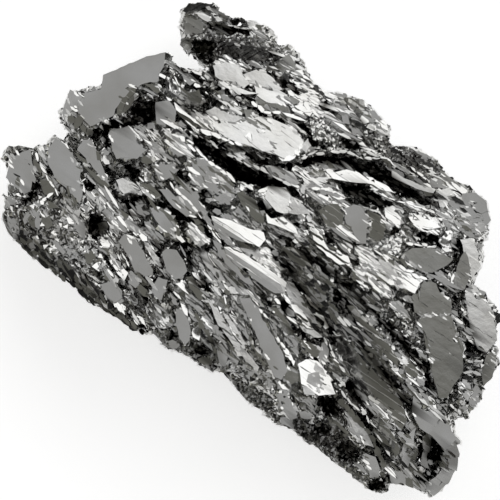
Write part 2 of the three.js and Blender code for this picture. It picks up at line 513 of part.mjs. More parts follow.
// Centre: bright blades either side of the long dark channel.
function centre() {
  cleft([24.6, 20.6], [41.5, 43.5], 4.6, 3.6);
  facet(0.39, SHADED, [[23.8, 19.6], [24.4, 19.5], [25.5, 20.3], [26.4, 22.1], [26, 22.3],
    [25, 21.6]]);
  facet(0.78, lean(34, 15), [[25.8, 19.2], [28.4, 19.3], [29.7, 20], [30.6, 21.3], [27.8, 21.3],
    [26.2, 20.2]]);
  cleft([25.7, 20.5], [28.3, 21.9], 0.5, 1.6);
  blade([26.4, 21.3], [29.9, 23.6], 0.8, 0.9, 0.3);
  facet(0.78, BRIGHT, [[22.2, 22.2], [23.6, 22.6], [25.3, 23.5], [26.3, 23.7], [25.6, 24.3],
    [22.2, 22.9]]);
  facet(0.78, BRIGHT, [[22.9, 24.5], [26.6, 26.8], [27.9, 27.8], [27.2, 28.5], [24.9, 27.2],
    [23.5, 25.9]]);
  blade([20.0, 21.4], [24.6, 25.5], 0.7, 1.1, 0.4);
  facet(0.2, SHADED, [[27.1, 30.7], [27.7, 30.6], [28.7, 31.8], [29.3, 32.9], [28.9, 33.1],
    [28.1, 32.2]]);
  blade([29.9, 29.0], [32.9, 32.9], 0.9, 0.7, 0.3);
  cleft([25.0, 28.9], [28.4, 30.4], 0.6, 2);
  cleft([27.9, 29.6], [30, 33.4], 0.7, 2.2);
  cleft([29.2, 33], [32.3, 34], 0.6, 2);
  blade([29.8, 21.9], [34.6, 26.4], 1.3, 1.1, 0.5);
  blade([33.6, 25.3], [36.6, 29.4], 1.1, 0.9, 0.5);
  pit([32.7, 24.1], 0.6, 1.8);
  facet(0.72, BRIGHT, [[37.2, 25.5], [38.1, 25.4], [41.8, 27.9], [40.6, 29.1], [39.5, 28.8],
    [37.1, 27.2]]);
  facet(0.59, PALE, [[35, 24.6], [36.6, 24.8], [37, 26.8], [38.8, 29.4], [37.6, 29.6], [35.6, 27]]);
  facet(0.45, PALE, [[38.2, 29.6], [39.6, 29.6], [40.4, 31.4], [41.4, 34.2], [40.4, 33.8]]);
  innerFacet(-1.7, DARK, [[28, 24.9], [28.9, 24.8], [30, 25.4], [30.8, 26.6], [30, 26.5],
    [28.9, 25.9]]);
  innerFacet(-1.9, SHADED, [[32.7, 33.5], [33.6, 33.2], [38.5, 38.7], [39.8, 40.7],
    [39.6, 41.7], [37.2, 40.5], [34.6, 37]]);
  innerFacet(-1.9, SHADED, [[34.5, 30.5], [35.4, 30.8], [38, 33.2], [40, 36.4], [39.4, 36.8],
    [36, 33.4]]);
  innerBlade([32.2, 33.3], [35.4, 38.2], 0.8, 0.2, -0.3);
  innerBlade([30.2, 27.6], [34.4, 32.2], 1.0, -1.4, -0.4);
  innerBlade([28.4, 26.6], [31.6, 31.6], 0.9, -1.5, -0.3);
  innerBlade([36.2, 32.0], [41.2, 39.4], 1.0, -0.9, -0.2);
  innerBlade([38.4, 31.0], [42.2, 37.4], 1.1, -0.1, 0.2);
  innerBlade([39.0, 37.4], [41.8, 43.2], 1.0, -0.7, 0.1);
}

// Lower left: steep parallel blades and level faces above a layered edge.
function lowerLeft() {
  facet(0.72, LEVEL, [[12.5, 24.2], [13.1, 23.4], [14.4, 24.6], [15.7, 27.2], [14.8, 27.6],
    [13.6, 26.4]]);
  facet(0.72, LEVEL, [[16.7, 25.4], [17.9, 25.1], [18.8, 26.7], [18.4, 27.7], [17.6, 27.7],
    [16.8, 26.3]]);
  facet(0.59, lean(214, 7), [[10.7, 28.2], [12, 27.9], [12.8, 29], [12.4, 30.1], [11.1, 29.8]]);
  facet(0.65, LEVEL, [[15.4, 28.9], [16.3, 27.8], [17.1, 28.2], [16.5, 29.8], [15.9, 29.6]]);
  facet(0.65, lean(90, 4), [[18, 30.6], [18.6, 30.9], [19.2, 32], [19.1, 33.3], [18.7, 33.8],
    [18.3, 33.2]]);
  facet(0.72, LEVEL, [[24.4, 30.2], [25.5, 31], [28.1, 35.5], [28.4, 36.5], [27.5, 37.1],
    [26.7, 36.4]]);
  blade([25.5, 29.9], [29.2, 35.8], 0.7, 1.3, 0.4);
  blade([14.4, 23.6], [17.7, 28.2], 0.8, 1.4, 0.2);
  facet(0.2, DARK, [[21.1, 29.5], [22.6, 29.4], [22.8, 30.6], [21.4, 30.9]]);
  pit([20.3, 25.4], 0.55, 1.8, 1.3);
  pit([20.3, 28.2], 0.6, 1.6, 1.1);
  blade([20.8, 29.7], [26.0, 36.8], 1.2, 1.2, 0.3);
  blade([22.2, 30.7], [24.8, 34.4], 1.0, 1.1, -0.3);
  // the field of steep blades, row after row down the flank
  const FIELD = [
    [6.6, 22.2, 5], [8.6, 24.2, 5], [11.2, 24.9, 4], [5.2, 23.8, 4], [12.9, 26.9, 4],
    [18.4, 23.9, 5], [19.6, 30.2, 5], [13.2, 30.4, 4], [21.2, 26.2, 5], [19.0, 27.6, 4],
    [23.4, 27.2, 4], [24.6, 33.6, 5], [20.2, 33.0, 4], [7.2, 26.0, 4],
  ];
  FIELD.forEach(([x, y, length], k) => {
    const slope = fanSlope(x + 1, y + 1) + between(-0.12, 0.12);
    const end = [x + Math.cos(slope) * length, y + Math.sin(slope) * length];
    blade([x, y], end, between(0.9, 1.4), between(0.6, 1.1), k % 2 ? 0.4 : -0.4);
  });
  // two thin layers that step down to the lower left edge
  for (let layer = 0; layer < 2; layer += 1) {
    const drop = layer * 0.6;
    blade([2.4 - drop * 0.4, 22.8 + drop], [8.4 - drop * 0.4, 27.8 + drop], 0.8, 0.5 - layer * 0.3, 0.5);
    blade([7.6 - drop * 0.4, 26.7 + drop], [14.6 - drop * 0.4, 31.9 + drop], 0.8, 0.5 - layer * 0.3, 0.5);
  }
  for (let k = 0; k < 4; k += 1) {
    lump([19.6 + k * 1.3, 34 + k * 1.08 + between(-0.4, 0.4)], between(0.6, 0.8), between(0.1, 0.4));
  }
}

// Lower right: rough dark pockets, a pale ridge and the hook that ends the lump.
function lowerRight() {
  facet(0.72, BRIGHT, [[29.9, 36], [31, 35.6], [32.1, 36.3], [33.2, 38.7], [31, 38.6],
    [29.9, 37.9]]);
  facet(0.26, DARK, [[30, 34], [31, 33.6], [31.7, 34.4], [31.2, 35.2], [30.2, 35]]);
  facet(0.59, LEVEL, [[27.4, 38.7], [28.6, 38.5], [29.6, 40], [29.2, 41.2], [28, 40.4]]);
  pit([32.7, 40.4], 1.1, 2.6, 1.2);
  pit([35.1, 38.8], 0.8, 2.2, 1.3);
  blade([33.4, 38.2], [36.6, 41.4], 0.9, 1.0, 0.4);
  blade([35.8, 40.4], [38.8, 45.2], 0.9, 0.8, 0.4);
  blade([33.1, 39.0], [39.4, 47.4], 0.9, 0.2, -0.5);
  facet(0.2, DARK, [[36.9, 41.4], [38, 41.1], [39.2, 42.8], [39.1, 45.2], [38, 44.4]]);
  facet(0.52, PALE, [[36.3, 44.8], [37.1, 45.4], [37.6, 46.8], [36.7, 47.1], [36.2, 46.4]]);
  lump([35.4, 47.0], 0.6, 0.4, 1);
  facet(0.2, DARK, [[36.9, 47.6], [38.6, 47.5], [38.7, 49], [37.2, 48.8]], 2.6, 0.4);
  facet(0.52, LEVEL, [[39, 46.8], [40.4, 46.6], [41.2, 47.8], [40.6, 48.4], [39.4, 48]], 2.8, 0.5);
  for (let k = 0; k < 7; k += 1) {
    const t = k / 6;
    lump([29.6 + t * 5.8, 41.9 + t * 3.6 + between(-0.9, 0.9)], between(0.6, 0.9), between(0, 0.4));
  }
  facet(0.59, PALE, [[33.9, 40.2], [34.8, 40.4], [36.4, 43.2], [36, 44], [34.6, 42.4]]);
  // the hook: a band that bends round a hollow with a rib in it
  const HOOK = [[41.3, 38.9], [43.2, 40.7], [44.8, 43.0], [45.3, 45.3], [44.6, 47.6], [43.0, 49.3]];
  HOOK.slice(1).forEach((end, k) => {
    const start = HOOK[k];
    blade([start[0] - 0.3, start[1] - 0.4], [end[0] + 0.1, end[1] + 0.4], 1.7, 1.1, 0.1, 3.4);
  });
  facet(0.59, LEVEL, [[41.4, 39.6], [42.4, 40.3], [43.6, 41.6], [42.6, 42.4], [41.2, 41.6]]);
  cleft([41.6, 42.0], [43.6, 48.9], 2.6, 4.2);
  innerBlade([42.3, 42.9], [42.7, 47.2], 0.9, -1.2, 0.1);
  blade([40.2, 42.2], [41.2, 47.2], 1.5, 0.6, 0.4, 3);
}

rim();
body();
restFace();
underside();
upperLeftBlock();
leftLobe();
middleLeft();
knob();
upperMiddle();
upperRight();
rightEnd();
centre();
lowerLeft();
lowerRight();

const wasm = await Module();
wasm.setup();

function toSolid(geometry) {
  geometry.deleteAttribute('normal');
  geometry.deleteAttribute('uv');
  const merged = mergeVertices(geometry, 1e-5);
  const vertProperties = new Float32Array(merged.attributes.position.array);
  const triVerts = new Uint32Array(merged.index.array);
  return new wasm.Manifold(new wasm.Mesh({ numProp: 3, vertProperties, triVerts }));
}

function toGeometry(solid) {
  const { vertProperties, triVerts } = solid.getMesh();
  const geometry = new THREE.BufferGeometry();
  geometry.setAttribute('position', new THREE.BufferAttribute(vertProperties, 3));
  geometry.setIndex(new THREE.BufferAttribute(triVerts, 1));
  return geometry;
}

// The outer skin alone: the largest group of triangles that share corners.
function outerSkin(geometry) {
  const corners = geometry.index.array;
  const group = Array.from({ length: geometry.attributes.position.count }, (_, k) => k);
  const rootOf = (k) => {
    let root = k;
    while (group[root] !== root) {
      group[root] = group[group[root]];
      root = group[root];
    }
    return root;
  };
  for (let k = 0; k < corners.length; k += 3) {
    group[rootOf(corners[k + 1])] = rootOf(corners[k]);
    group[rootOf(corners[k + 2])] = rootOf(corners[k]);
  }
  const sizes = new Map();
  for (const corner of corners) {
    sizes.set(rootOf(corner), (sizes.get(rootOf(corner)) ?? 0) + 1);
  }
  const largest = [...sizes].sort((a, b) => b[1] - a[1])[0][0];
  geometry.setIndex([...corners].filter((corner) => rootOf(corner) === largest));
  const skin = mergeVertices(geometry.toNonIndexed(), 1e-6);
  skin.computeVertexNormals();
  return skin;
}

const whole = grown.map(toSolid).reduce((total, solid) => total.add(solid));
const open = broken.map(toSolid).reduce((total, solid) => total.subtract(solid), whole);
const complete = regrown.map(toSolid).reduce((total, solid) => total.add(solid), open);

const tungsten = new THREE.MeshStandardMaterial({
  color: 0x9a9a98,
  roughness: 0.22,
  metalness: 1,
  flatShading: true,
});
const specimen = new THREE.Mesh(outerSkin(toGeometry(complete)), tungsten);
specimen.name = 'specimen';

// Turned so that the long axis lies on X, and centred over its rest face.
specimen.rotation.z = BLADE_SLOPE * DEGREE;
specimen.updateMatrixWorld();
const box = new THREE.Box3().setFromObject(specimen, true);
specimen.position.set(-(box.min.x + box.max.x) / 2, -(box.min.y + box.max.y) / 2, -box.min.z);

const lumpOfTungsten = new THREE.Group();
lumpOfTungsten.add(specimen);
export default lumpOfTungsten;
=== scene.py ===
import json
import math
import random

import bmesh
import bpy
import numpy as np
from mathutils import Matrix, Vector, noise
from mathutils.bvhtree import BVHTree
from mathutils.geometry import tessellate_polygon


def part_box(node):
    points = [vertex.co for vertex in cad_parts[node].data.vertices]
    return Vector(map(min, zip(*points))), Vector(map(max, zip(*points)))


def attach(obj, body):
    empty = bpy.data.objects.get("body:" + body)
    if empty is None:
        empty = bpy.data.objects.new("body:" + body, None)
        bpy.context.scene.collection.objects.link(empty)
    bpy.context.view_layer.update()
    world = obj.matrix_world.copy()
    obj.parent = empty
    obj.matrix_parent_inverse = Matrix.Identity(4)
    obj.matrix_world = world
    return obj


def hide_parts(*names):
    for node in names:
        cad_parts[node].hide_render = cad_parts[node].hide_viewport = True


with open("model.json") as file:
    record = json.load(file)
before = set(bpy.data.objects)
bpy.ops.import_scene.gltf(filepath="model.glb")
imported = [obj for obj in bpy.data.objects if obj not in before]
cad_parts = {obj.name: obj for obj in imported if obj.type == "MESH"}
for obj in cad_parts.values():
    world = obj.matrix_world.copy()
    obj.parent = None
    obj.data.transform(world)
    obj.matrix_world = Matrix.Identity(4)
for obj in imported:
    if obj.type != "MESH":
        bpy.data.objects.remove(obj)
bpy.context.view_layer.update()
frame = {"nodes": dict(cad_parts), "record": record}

# Lengths in millimetres until a mesh is made; Blender's own are metres.
MM = 0.001
NODE = "specimen"
BLADE_SLOPE = math.radians(33.8)  # how far the long axis falls to the right in the plan
PLAN_MIDDLE = (24.2, 25.3)  # the middle of the rest face in the plan
VIEW_MIDDLE = (25.0, 25.0)  # the middle of the plan square, which the camera frames
VIEW_SIDE = 50.0
LOWEST, HIGHEST = (np.array(corner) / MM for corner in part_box(NODE))
REST_POINT = np.array(frame["record"]["mounts"][0]["pos_m"]) / MM
RNG = random.Random(74)


def to_frame(x, y):
    """A plan place, x to the right and y down, as x and y of the frame."""
    a, b = x - PLAN_MIDDLE[0], PLAN_MIDDLE[1] - y
    c, s = math.cos(BLADE_SLOPE), math.sin(BLADE_SLOPE)
    return REST_POINT[0] + a * c - b * s, REST_POINT[1] + a * s + b * c


def to_plan(x, y):
    """A frame place as x and y of the plan; both may be arrays."""
    a, b = x - REST_POINT[0], y - REST_POINT[1]
    c, s = math.cos(BLADE_SLOPE), math.sin(BLADE_SLOPE)
    return PLAN_MIDDLE[0] + a * c + b * s, PLAN_MIDDLE[1] + a * s - b * c


def plan_direction(bearing, off_zenith):
    """A direction in the frame, by its bearing clockwise from the plan's top."""
    b, o = math.radians(bearing), math.radians(off_zenith)
    x, y, z = math.sin(b) * math.sin(o), math.cos(b) * math.sin(o), math.cos(o)
    c, s = math.cos(BLADE_SLOPE), math.sin(BLADE_SLOPE)
    return Vector((x * c - y * s, x * s + y * c, z))


# The blades spread from a point off the upper left end, FAN_REACH from the middle.
FAN_REACH = 65.0
FAN_TURN = BLADE_SLOPE - math.radians(43)


def to_fan(x, y):
    """A frame place as its length along the blades and its place across them."""
    a, b = x - REST_POINT[0], y - REST_POINT[1]
    u = a * math.cos(FAN_TURN) + b * math.sin(FAN_TURN) + FAN_REACH
    v = b * math.cos(FAN_TURN) - a * math.sin(FAN_TURN)
    return math.hypot(u, v), math.atan2(v, u) * FAN_REACH


def from_fan(r, c):
    angle = c / FAN_REACH
    u, v = r * math.cos(angle) - FAN_REACH, r * math.sin(angle)
    x = u * math.cos(FAN_TURN) - v * math.sin(FAN_TURN)
    y = v * math.cos(FAN_TURN) + u * math.sin(FAN_TURN)
    return x + REST_POINT[0], y + REST_POINT[1]


def fan_direction(x, y):
    """The way the blades run at a frame place."""
    turn = FAN_TURN + to_fan(x, y)[1] / FAN_REACH
    return Vector((math.cos(turn), math.sin(turn), 0))


# The height of the surface that the crystals stand out of, as the CAD has it.
RIM_HEIGHT = 7.4
DOME = 9.2
LENGTH = 53.0
WIDTH = 33.0


def dome_height(x, y):
    """The height of the smooth hill that the upper side follows."""
    end = np.abs((x - REST_POINT[0]) / (LENGTH * 0.55)) ** 3
    side = np.abs((y - REST_POINT[1]) / (WIDTH * 0.53)) ** 2.4
    return RIM_HEIGHT + DOME * np.maximum(0.0, 1 - end - side) ** 0.65


def smooth_step(low, high, values):
    t = np.clip((values - low) / (high - low), 0, 1)
    return t * t * (3 - 2 * t)


# ------------------------------------------------- how the small faces lean

def lean(bearing, steepness):
    """The fall of a flat face: its way down in the frame, per mm."""
    down = plan_direction(bearing, 90)
    return Vector((down.x, down.y)) * math.tan(math.radians(steepness))


# What a face shows depends on what it reflects, so on how it leans.
WHITE = lean(34, 21)
PALE = lean(34, 10.3)
LIGHT = lean(34, 8.5)
GREY = lean(34, 2)
DUSK = lean(214, 13)
SHADED = lean(214, 20)
BLACK = lean(150, 28)
LEANS = [WHITE, PALE, GREY, SHADED, BLACK]

# Kinds of broken surface: how often each of LEANS comes up, the width of one
# small face in mm, how many times longer it is, and how much of the metal's colour it keeps under painted
# shade.
TEXTURES = {
    "silky": ((0.26, 0.58, 0.13, 0.02, 0.01), 0.40, 5.0, 1.0),
    "bright": ((0.54, 0.26, 0.13, 0.03, 0.04), 0.36, 4.2, 1.0),
    "streaked": ((0.22, 0.24, 0.41, 0.10, 0.03), 0.40, 8.0, 1.0),
    "grey": ((0.06, 0.15, 0.68, 0.09, 0.02), 0.55, 3.0, 1.0),
    "glitter": ((0.34, 0.16, 0.20, 0.12, 0.18), 0.26, 1.6, 0.95),
    "light": ((0.27, 0.30, 0.34, 0.07, 0.02), 0.40, 6.0, 1.0),
    "fine": ((0.19, 0.21, 0.37, 0.16, 0.07), 0.34, 1.8, 1.0),
    "dark": ((0.04, 0.06, 0.24, 0.50, 0.16), 0.40, 7.0, 0.6),
    "black": ((0.05, 0.05, 0.10, 0.28, 0.52), 0.28, 1.6, 0.36),
    "dark_glitter": ((0.17, 0.09, 0.17, 0.25, 0.32), 0.28, 1.8, 0.7),
}
TEXTURE_LIST = list(TEXTURES.values())
TEXTURE_NAMES = list(TEXTURES)

# Where each kind lies: plan x, y, half length, half width, slope in degrees,
# down to the right. The first that fits counts.
ZONES = [
    ("glitter", 25.6, 39.3, 3.2, 0.9, 38),
    ("glitter", 34.6, 46.2, 2.6, 0.8, 40),
    ("bright", 28.6, 38.4, 1.6, 0.5, 22),
    ("dark_glitter", 14.8, 11.4, 1.4, 1.7, 90),
    ("dark", 12.2, 13.0, 2.4, 0.6, -20),
    ("grey", 8.6, 13.4, 1.4, 0.5, 35),
    ("glitter", 17.6, 8.9, 1.1, 1.2, 90),
    ("glitter", 9.2, 9.4, 1.4, 0.3, 0),
    ("dark", 19.5, 10.8, 1.6, 1.2, 40),
    ("dark_glitter", 13.6, 17.3, 1.3, 0.9, 30),
    ("bright", 15.0, 18.0, 0.8, 1.2, 90),
    ("glitter", 7.8, 14.6, 1.1, 0.5, 40),
    ("dark_glitter", 3.4, 20.2, 1.6, 0.8, -20),
    ("bright", 5.2, 19.9, 1.2, 0.6, -35),
    ("grey", 1.6, 21.0, 1.4, 2.6, 90),
    ("dark_glitter", 9.9, 22.6, 1.6, 1.4, 60),
    ("black", 20.2, 0.9, 1.9, 0.6, 5),
    ("dark_glitter", 19.6, 2.8, 1.6, 1.2, 30),
    ("dark", 22.6, 2.8, 2.0, 0.5, 25),
    ("black", 24.4, 5.4, 3.9, 1.1, 15),
    ("black", 20.4, 5.2, 2.2, 1.1, 10),
    ("black", 23.8, 2.1, 1.3, 0.7, 15),
    ("dark_glitter", 24.2, 4.8, 3.9, 1.6, 20),
    ("dark", 20.2, 5.4, 1.8, 1.2, 10),
    ("glitter", 27.0, 3.6, 1.0, 1.2, 60),
    ("bright", 22.4, 6.6, 1.9, 0.6, 15),
    ("streaked", 26.0, 8.3, 2.6, 1.3, 20),
    ("bright", 30.4, 9.8, 2.6, 1.5, 45),
    ("grey", 22.6, 11.8, 2.0, 0.8, 15),
    ("silky", 25.2, 14.0, 5.4, 2.2, 18),
    ("bright", 20.2, 13.0, 3.2, 0.6, 36),
    ("dark", 24.6, 16.6, 5.8, 1.2, 26),
    ("grey", 21.2, 18.6, 2.6, 2.2, 45),
    ("glitter", 31.8, 13.6, 2.2, 1.8, 30),
    ("dark_glitter", 34.6, 14.5, 1.4, 0.8, 15),
    ("dark_glitter", 39.2, 15.4, 1.6, 0.8, 25),
    ("grey", 35.4, 11.0, 2.0, 1.4, 30),
    ("dark", 34.0, 16.2, 4.4, 0.7, 4),
    ("dark", 40.4, 18.6, 4.6, 1.1, 30),
    ("dark", 36.2, 19.8, 2.6, 1.2, 20),
    ("bright", 34.8, 18.0, 2.8, 0.8, 12),
    ("bright", 42.0, 18.6, 2.2, 0.7, 30),
    ("bright", 41.6, 22.4, 2.6, 1.4, 10),
    ("dark_glitter", 42.4, 23.9, 1.4, 0.6, 20),
    ("grey", 46.8, 21.6, 2.0, 1.6, 60),
    ("grey", 47.6, 20.0, 1.4, 1.0, 60),
    ("glitter", 44.6, 26.0, 1.2, 2.4, 90),
    ("dark", 33.6, 32.4, 10.0, 2.1, 52),
    ("dark_glitter", 39.2, 32.6, 2.6, 1.6, 50),
    ("light", 39.4, 27.2, 2.8, 1.5, 30),
    ("bright", 33.2, 25.8, 4.6, 0.8, 48),
    ("bright", 25.8, 24.6, 3.6, 1.6, 32),
    ("dark_glitter", 46.4, 36.6, 1.3, 2.4, 90),
    ("grey", 48.6, 36.4, 0.8, 1.8, 90),
    ("dark_glitter", 32.8, 40.4, 1.6, 1.6, 40),
    ("dark_glitter", 32.4, 43.8, 4.0, 1.9, 35),
    ("dark", 35.2, 38.8, 1.2, 1.6, 60),
    ("bright", 31.4, 37.2, 1.9, 1.5, 60),
    ("dark", 37.4, 43.2, 3.6, 1.2, 60),
    ("dark_glitter", 37.6, 48.2, 1.6, 1.2, 20),
    ("dark", 43.2, 45.4, 1.6, 3.0, 80),
    ("dark_glitter", 20.8, 35.2, 2.4, 1.1, 40),
    ("bright", 14.4, 30.6, 2.3, 1.7, 45),
    ("dark", 7.5, 27.8, 7.4, 1.15, 38),
    ("bright", 27.4, 29.4, 1.4, 0.7, 10),
    ("glitter", 30.6, 32.4, 1.6, 1.2, 40),
    ("black", 31.2, 12.6, 1.6, 0.7, 50),
    ("dark_glitter", 31.0, 13.4, 1.8, 1.2, 40),
    ("dark_glitter", 33.8, 14.8, 2.8, 0.8, 16),
    ("light", 20.6, 24.0, 3.6, 1.6, 48),
    ("dark_glitter", 37.0, 13.4, 1.6, 0.5, 30),
    ("dark_glitter", 38.6, 14.8, 2.4, 1.0, 25),
    ("dark_glitter", 41.6, 16.2, 2.6, 1.0, 28),
    ("grey", 21.0, 17.9, 3.0, 1.5, 34),
    ("fine", 46.6, 22.6, 1.8, 2.4, 60),
    ("fine", 6.8, 24.4, 5.6, 2.4, 38),
    ("fine", 4.0, 20.8, 3.4, 2.2, 60),
    ("fine", 26.4, 39.2, 4.6, 2.2, 42),
    ("fine", 18.6, 34.6, 3.0, 1.6, 36),
    ("glitter", 17.4, 24.0, 1.4, 0.9, 40),
    ("silky", 23.2, 8.8, 2.8, 1.6, 20),
    ("light", 16.6, 25.4, 5.6, 3.0, 52),
    ("bright", 30.6, 30.2, 2.6, 1.1, 55),
    ("light", 29.0, 18.4, 2.0, 1.2, 20),
    ("light", 34.2, 26.8, 2.4, 1.0, 40),
    ("light", 16.6, 32.6, 2.0, 1.2, 40),
    ("glitter", 38.9, 24.4, 1.4, 1.4, 0),
]
DEFAULT_TEXTURE = "streaked"
ROUGH_ONLY = ("grey", "fine", "glitter", "black", "dark", "dark_glitter")  # no smooth CAD face stays


def texture_indices(px, py):
    """Which of TEXTURE_LIST each plan place has; the zones' edges wander."""
    wx = px + 0.22 * np.sin(2.3 * py + 1.1 * px) + 0.12 * np.sin(6.1 * py - 4.3 * px)
    wy = py + 0.22 * np.sin(2.1 * px - 1.3 * py) + 0.12 * np.sin(5.7 * px + 4.9 * py)
    found = np.full(len(px), TEXTURE_NAMES.index(DEFAULT_TEXTURE))
    for name, x, y, long, wide, slope in reversed(ZONES):
        c, s = math.cos(math.radians(slope)), math.sin(math.radians(slope))
        dx, dy = wx - x, wy - y
        inside = ((dx * c + dy * s) / long) ** 2 + ((dy * c - dx * s) / wide) ** 2 < 1
        found[inside] = TEXTURE_NAMES.index(name)
    return found


def pick_lean(shares, share):
    for which, part in zip(LEANS, shares):
        share -= part
        if share < 0:
            return which
    return GREY


# ------------------------------------------- what is told one by one, by region

HOLLOWS, CREVICES, FLAKES, SEAMS = [], [], [], []
BARE = 0.15  # the lift of a flake without crumbs


def pairs(numbers):
    """Pairs of x and y from a flat row of numbers."""
    return list(zip(numbers[::2], numbers[1::2]))


def hollow(x, y, long, wide, depth=1.0, slope=0):
    """A hole, sunk and darkened with painted shade: its plan place, half sizes, depth in mm and slope in
    degrees.
    """
    HOLLOWS.append((x, y, long, wide, slope, depth))


def crevice(width, depth, *line):
    """A cleft, sunk and darkened with painted shade, along a plan line, given as x, y, x, y and so on."""
    CREVICES.append((width, depth, pairs(line)))


def flake(fall, *outline, lift=0.12):
    """A flat face in a plan outline, which falls as told and stands lift mm out."""
    FLAKES.append((fall, lift, pairs(outline)))


def seam(fall, width, *line):
    """A thin row of shards along a plan line."""
    SEAMS.append((fall, width, pairs(line)))


def upper_left_block():
    flake(GREY, 10.8, 8.1, 12.9, 7.2, 15, 6.3, 16.8, 5.9, 16.7, 7.2, 16.2, 8, 16.2, 8.7, 14.9, 8.9,
        14.1, 9.3, 13.2, 10.2, 12.7, 10.3, 12, 11.4, 11.9, 12, 10.6, 12.6, 9.6, 13.1, 8.6, 12.2, 8.9, 11.2,
        9, 10.2, 9.9, 9.7, 10.6, 9.5, lift=BARE)
    flake(lean(300, 5), 7.1, 10.9, 7.6, 9.5, 8.2, 9.8, 8.9, 10.1, 8, 11.4, 7.4, 12, 7.2, 13, 6.9, 11.8)
    flake(SHADED, 12, 12, 11.9, 11.3, 12.5, 10.2, 12.9, 10.3, 13.7, 9.3, 14.1, 9.2, 13.9, 9.9, 13, 10.7,
        12.6, 11.8, lift=0.3)
    flake(SHADED, 14.1, 9.5, 14.9, 8.9, 16, 8.8, 16.5, 9.4, 15.9, 9.9, 15, 9.3, lift=0.25)
    hollow(14.8, 11.6, 1.2, 1.5, 1.4)
    flake(GREY, 15.1, 12.7, 15.8, 12.6, 15.7, 13.2, 15, 13.3)
    crevice(1, 0.8, 9.7, 14, 11.2, 13.1, 13, 12.4, 14.6, 12.3)
    crevice(0.7, 0.7, 10.8, 13.6, 11.4, 15)
    seam(SHADED, 0.9, 7.5, 12.2, 8.6, 13, 9.6, 14)
    flake(GREY, 15.9, 10.8, 17.2, 10.6, 17.9, 11.6, 17.8, 12.6, 16.8, 13, 16, 12.8)
    for k in range(4):
        seam(WHITE if k % 2 else BLACK, 0.2, 16.8 + 0.3 * k, 8.6 - 0.1 * k, 17.1 + 0.4 * k, 9.7)
    flake(GREY, 18.4, 7.8, 19.2, 7.9, 19.6, 8.8, 19.2, 9.1, 18.6, 8.6)
    crevice(0.7, 0.8, 17.6, 6.9, 19.4, 8, 21.2, 8.8)
    flake(SHADED, 18.6, 10.9, 19.2, 9.8, 20.1, 9.5, 20.4, 10.4, 19.9, 11.2, 19.4, 11.4)


def left_lobe():
    flake(GREY, 1.7, 16.4, 2.8, 15.5, 3.7, 15.2, 4, 17, 4, 18, 3.7, 19.3, 3.1, 19.6, 2.2, 18.8, 1.3, 18,
        1.5, 17.2, lift=0.2)
    flake(BLACK, 1, 15.5, 1.4, 14.8, 2.6, 14.8, 3.8, 15.1, 2.6, 15.3, 1.6, 15.7)
    flake(SHADED, 2.2, 18.3, 2.5, 17.8, 2.7, 18.4, 2.6, 19.1, 2.3, 18.9, lift=0.3)
    flake(SHADED, 3.9, 15.4, 4.3, 16, 5, 17.7, 4.2, 18.1, 4, 17)
    seam(WHITE, 0.2, 4.2, 15.6, 5.3, 17.6, 6.1, 19, 6.8, 20.5)
    flake(GREY, 5.6, 15.2, 6.3, 14.2, 7.2, 14.9, 8, 16.2, 8.7, 17.3, 8.6, 18.3, 8.9, 19.8, 8.6, 20.6,
        7.8, 18.9, 6.9, 18.6, 6.2, 18, 5.5, 16.4, lift=0.2)
    flake(GREY, 9, 14.4, 9.9, 14.5, 10.1, 15.8, 10.6, 16.9, 11.2, 18.2, 11.5, 18.9, 10.6, 17.9, 9.6, 16.6,
        8.4, 15.4)
    flake(SHADED, 10.1, 14.6, 10.6, 15.2, 10.7, 16.4, 10.3, 16.4)
    flake(SHADED, 7.7, 15, 8.2, 15, 9.4, 16.6, 10.4, 17.7, 11.6, 18.8, 11.2, 19, 10.1, 18.3, 9.3, 17.3,
        8.4, 16.1)
    seam(WHITE, 0.18, 7, 14.1, 8.2, 15.4, 9.3, 17, 9.8, 17.8)
    hollow(9.5, 18.8, 0.75, 0.55, 1.2)
    seam(WHITE, 0.16, 8.7, 18.4, 9.4, 18, 10.1, 18.3)
    seam(WHITE, 0.16, 8.8, 18.6, 9, 19.4)
    seam(WHITE, 0.25, 1.7, 18.8, 2.3, 19.6, 3, 19.8)
    crevice(0.7, 0.7, 4.6, 18.3, 4, 19.6, 3.1, 20.3)
    seam(WHITE, 0.4, 4.8, 20.2, 5.9, 19.5)
    flake(SHADED, 5.2, 20.4, 6, 20, 6.6, 20.2, 6.4, 20.9, 5.6, 21)
    flake(SHADED, 6.2, 21.2, 6.8, 20.7, 7.2, 21.2, 7.2, 21.8, 6.6, 21.9)
    flake(GREY, 2.6, 22, 3, 21.3, 3.8, 20.9, 3.4, 21.8, 2.8, 22.5)
    flake(SHADED, 3.4, 22, 4, 21.2, 4.2, 22.6, 3.8, 23.4)
    flake(GREY, 4.2, 21.2, 4.6, 21.4, 4.6, 23, 4.2, 22.8)
    flake(DUSK, 4.8, 21.2, 5.6, 21.6, 5.9, 22.6, 5.4, 23, 4.9, 22.4)
    flake(WHITE, 2.1, 22.3, 2.5, 21.8, 2.8, 22.5, 2.3, 22.9, 1.8, 23.2)
    flake(GREY, 2.5, 23, 3.2, 23.2, 3.4, 23.8, 3, 24, 2.6, 23.6)
    seam(SHADED, 0.25, 7.5, 18.8, 7.8, 19.8, 8.2, 20.8)
    seam(SHADED, 0.25, 6.9, 19.2, 7.2, 20.6)
    flake(PALE, 7.9, 21.4, 8.4, 20.4, 9, 19.7, 8.9, 20.6, 8.4, 21.8)


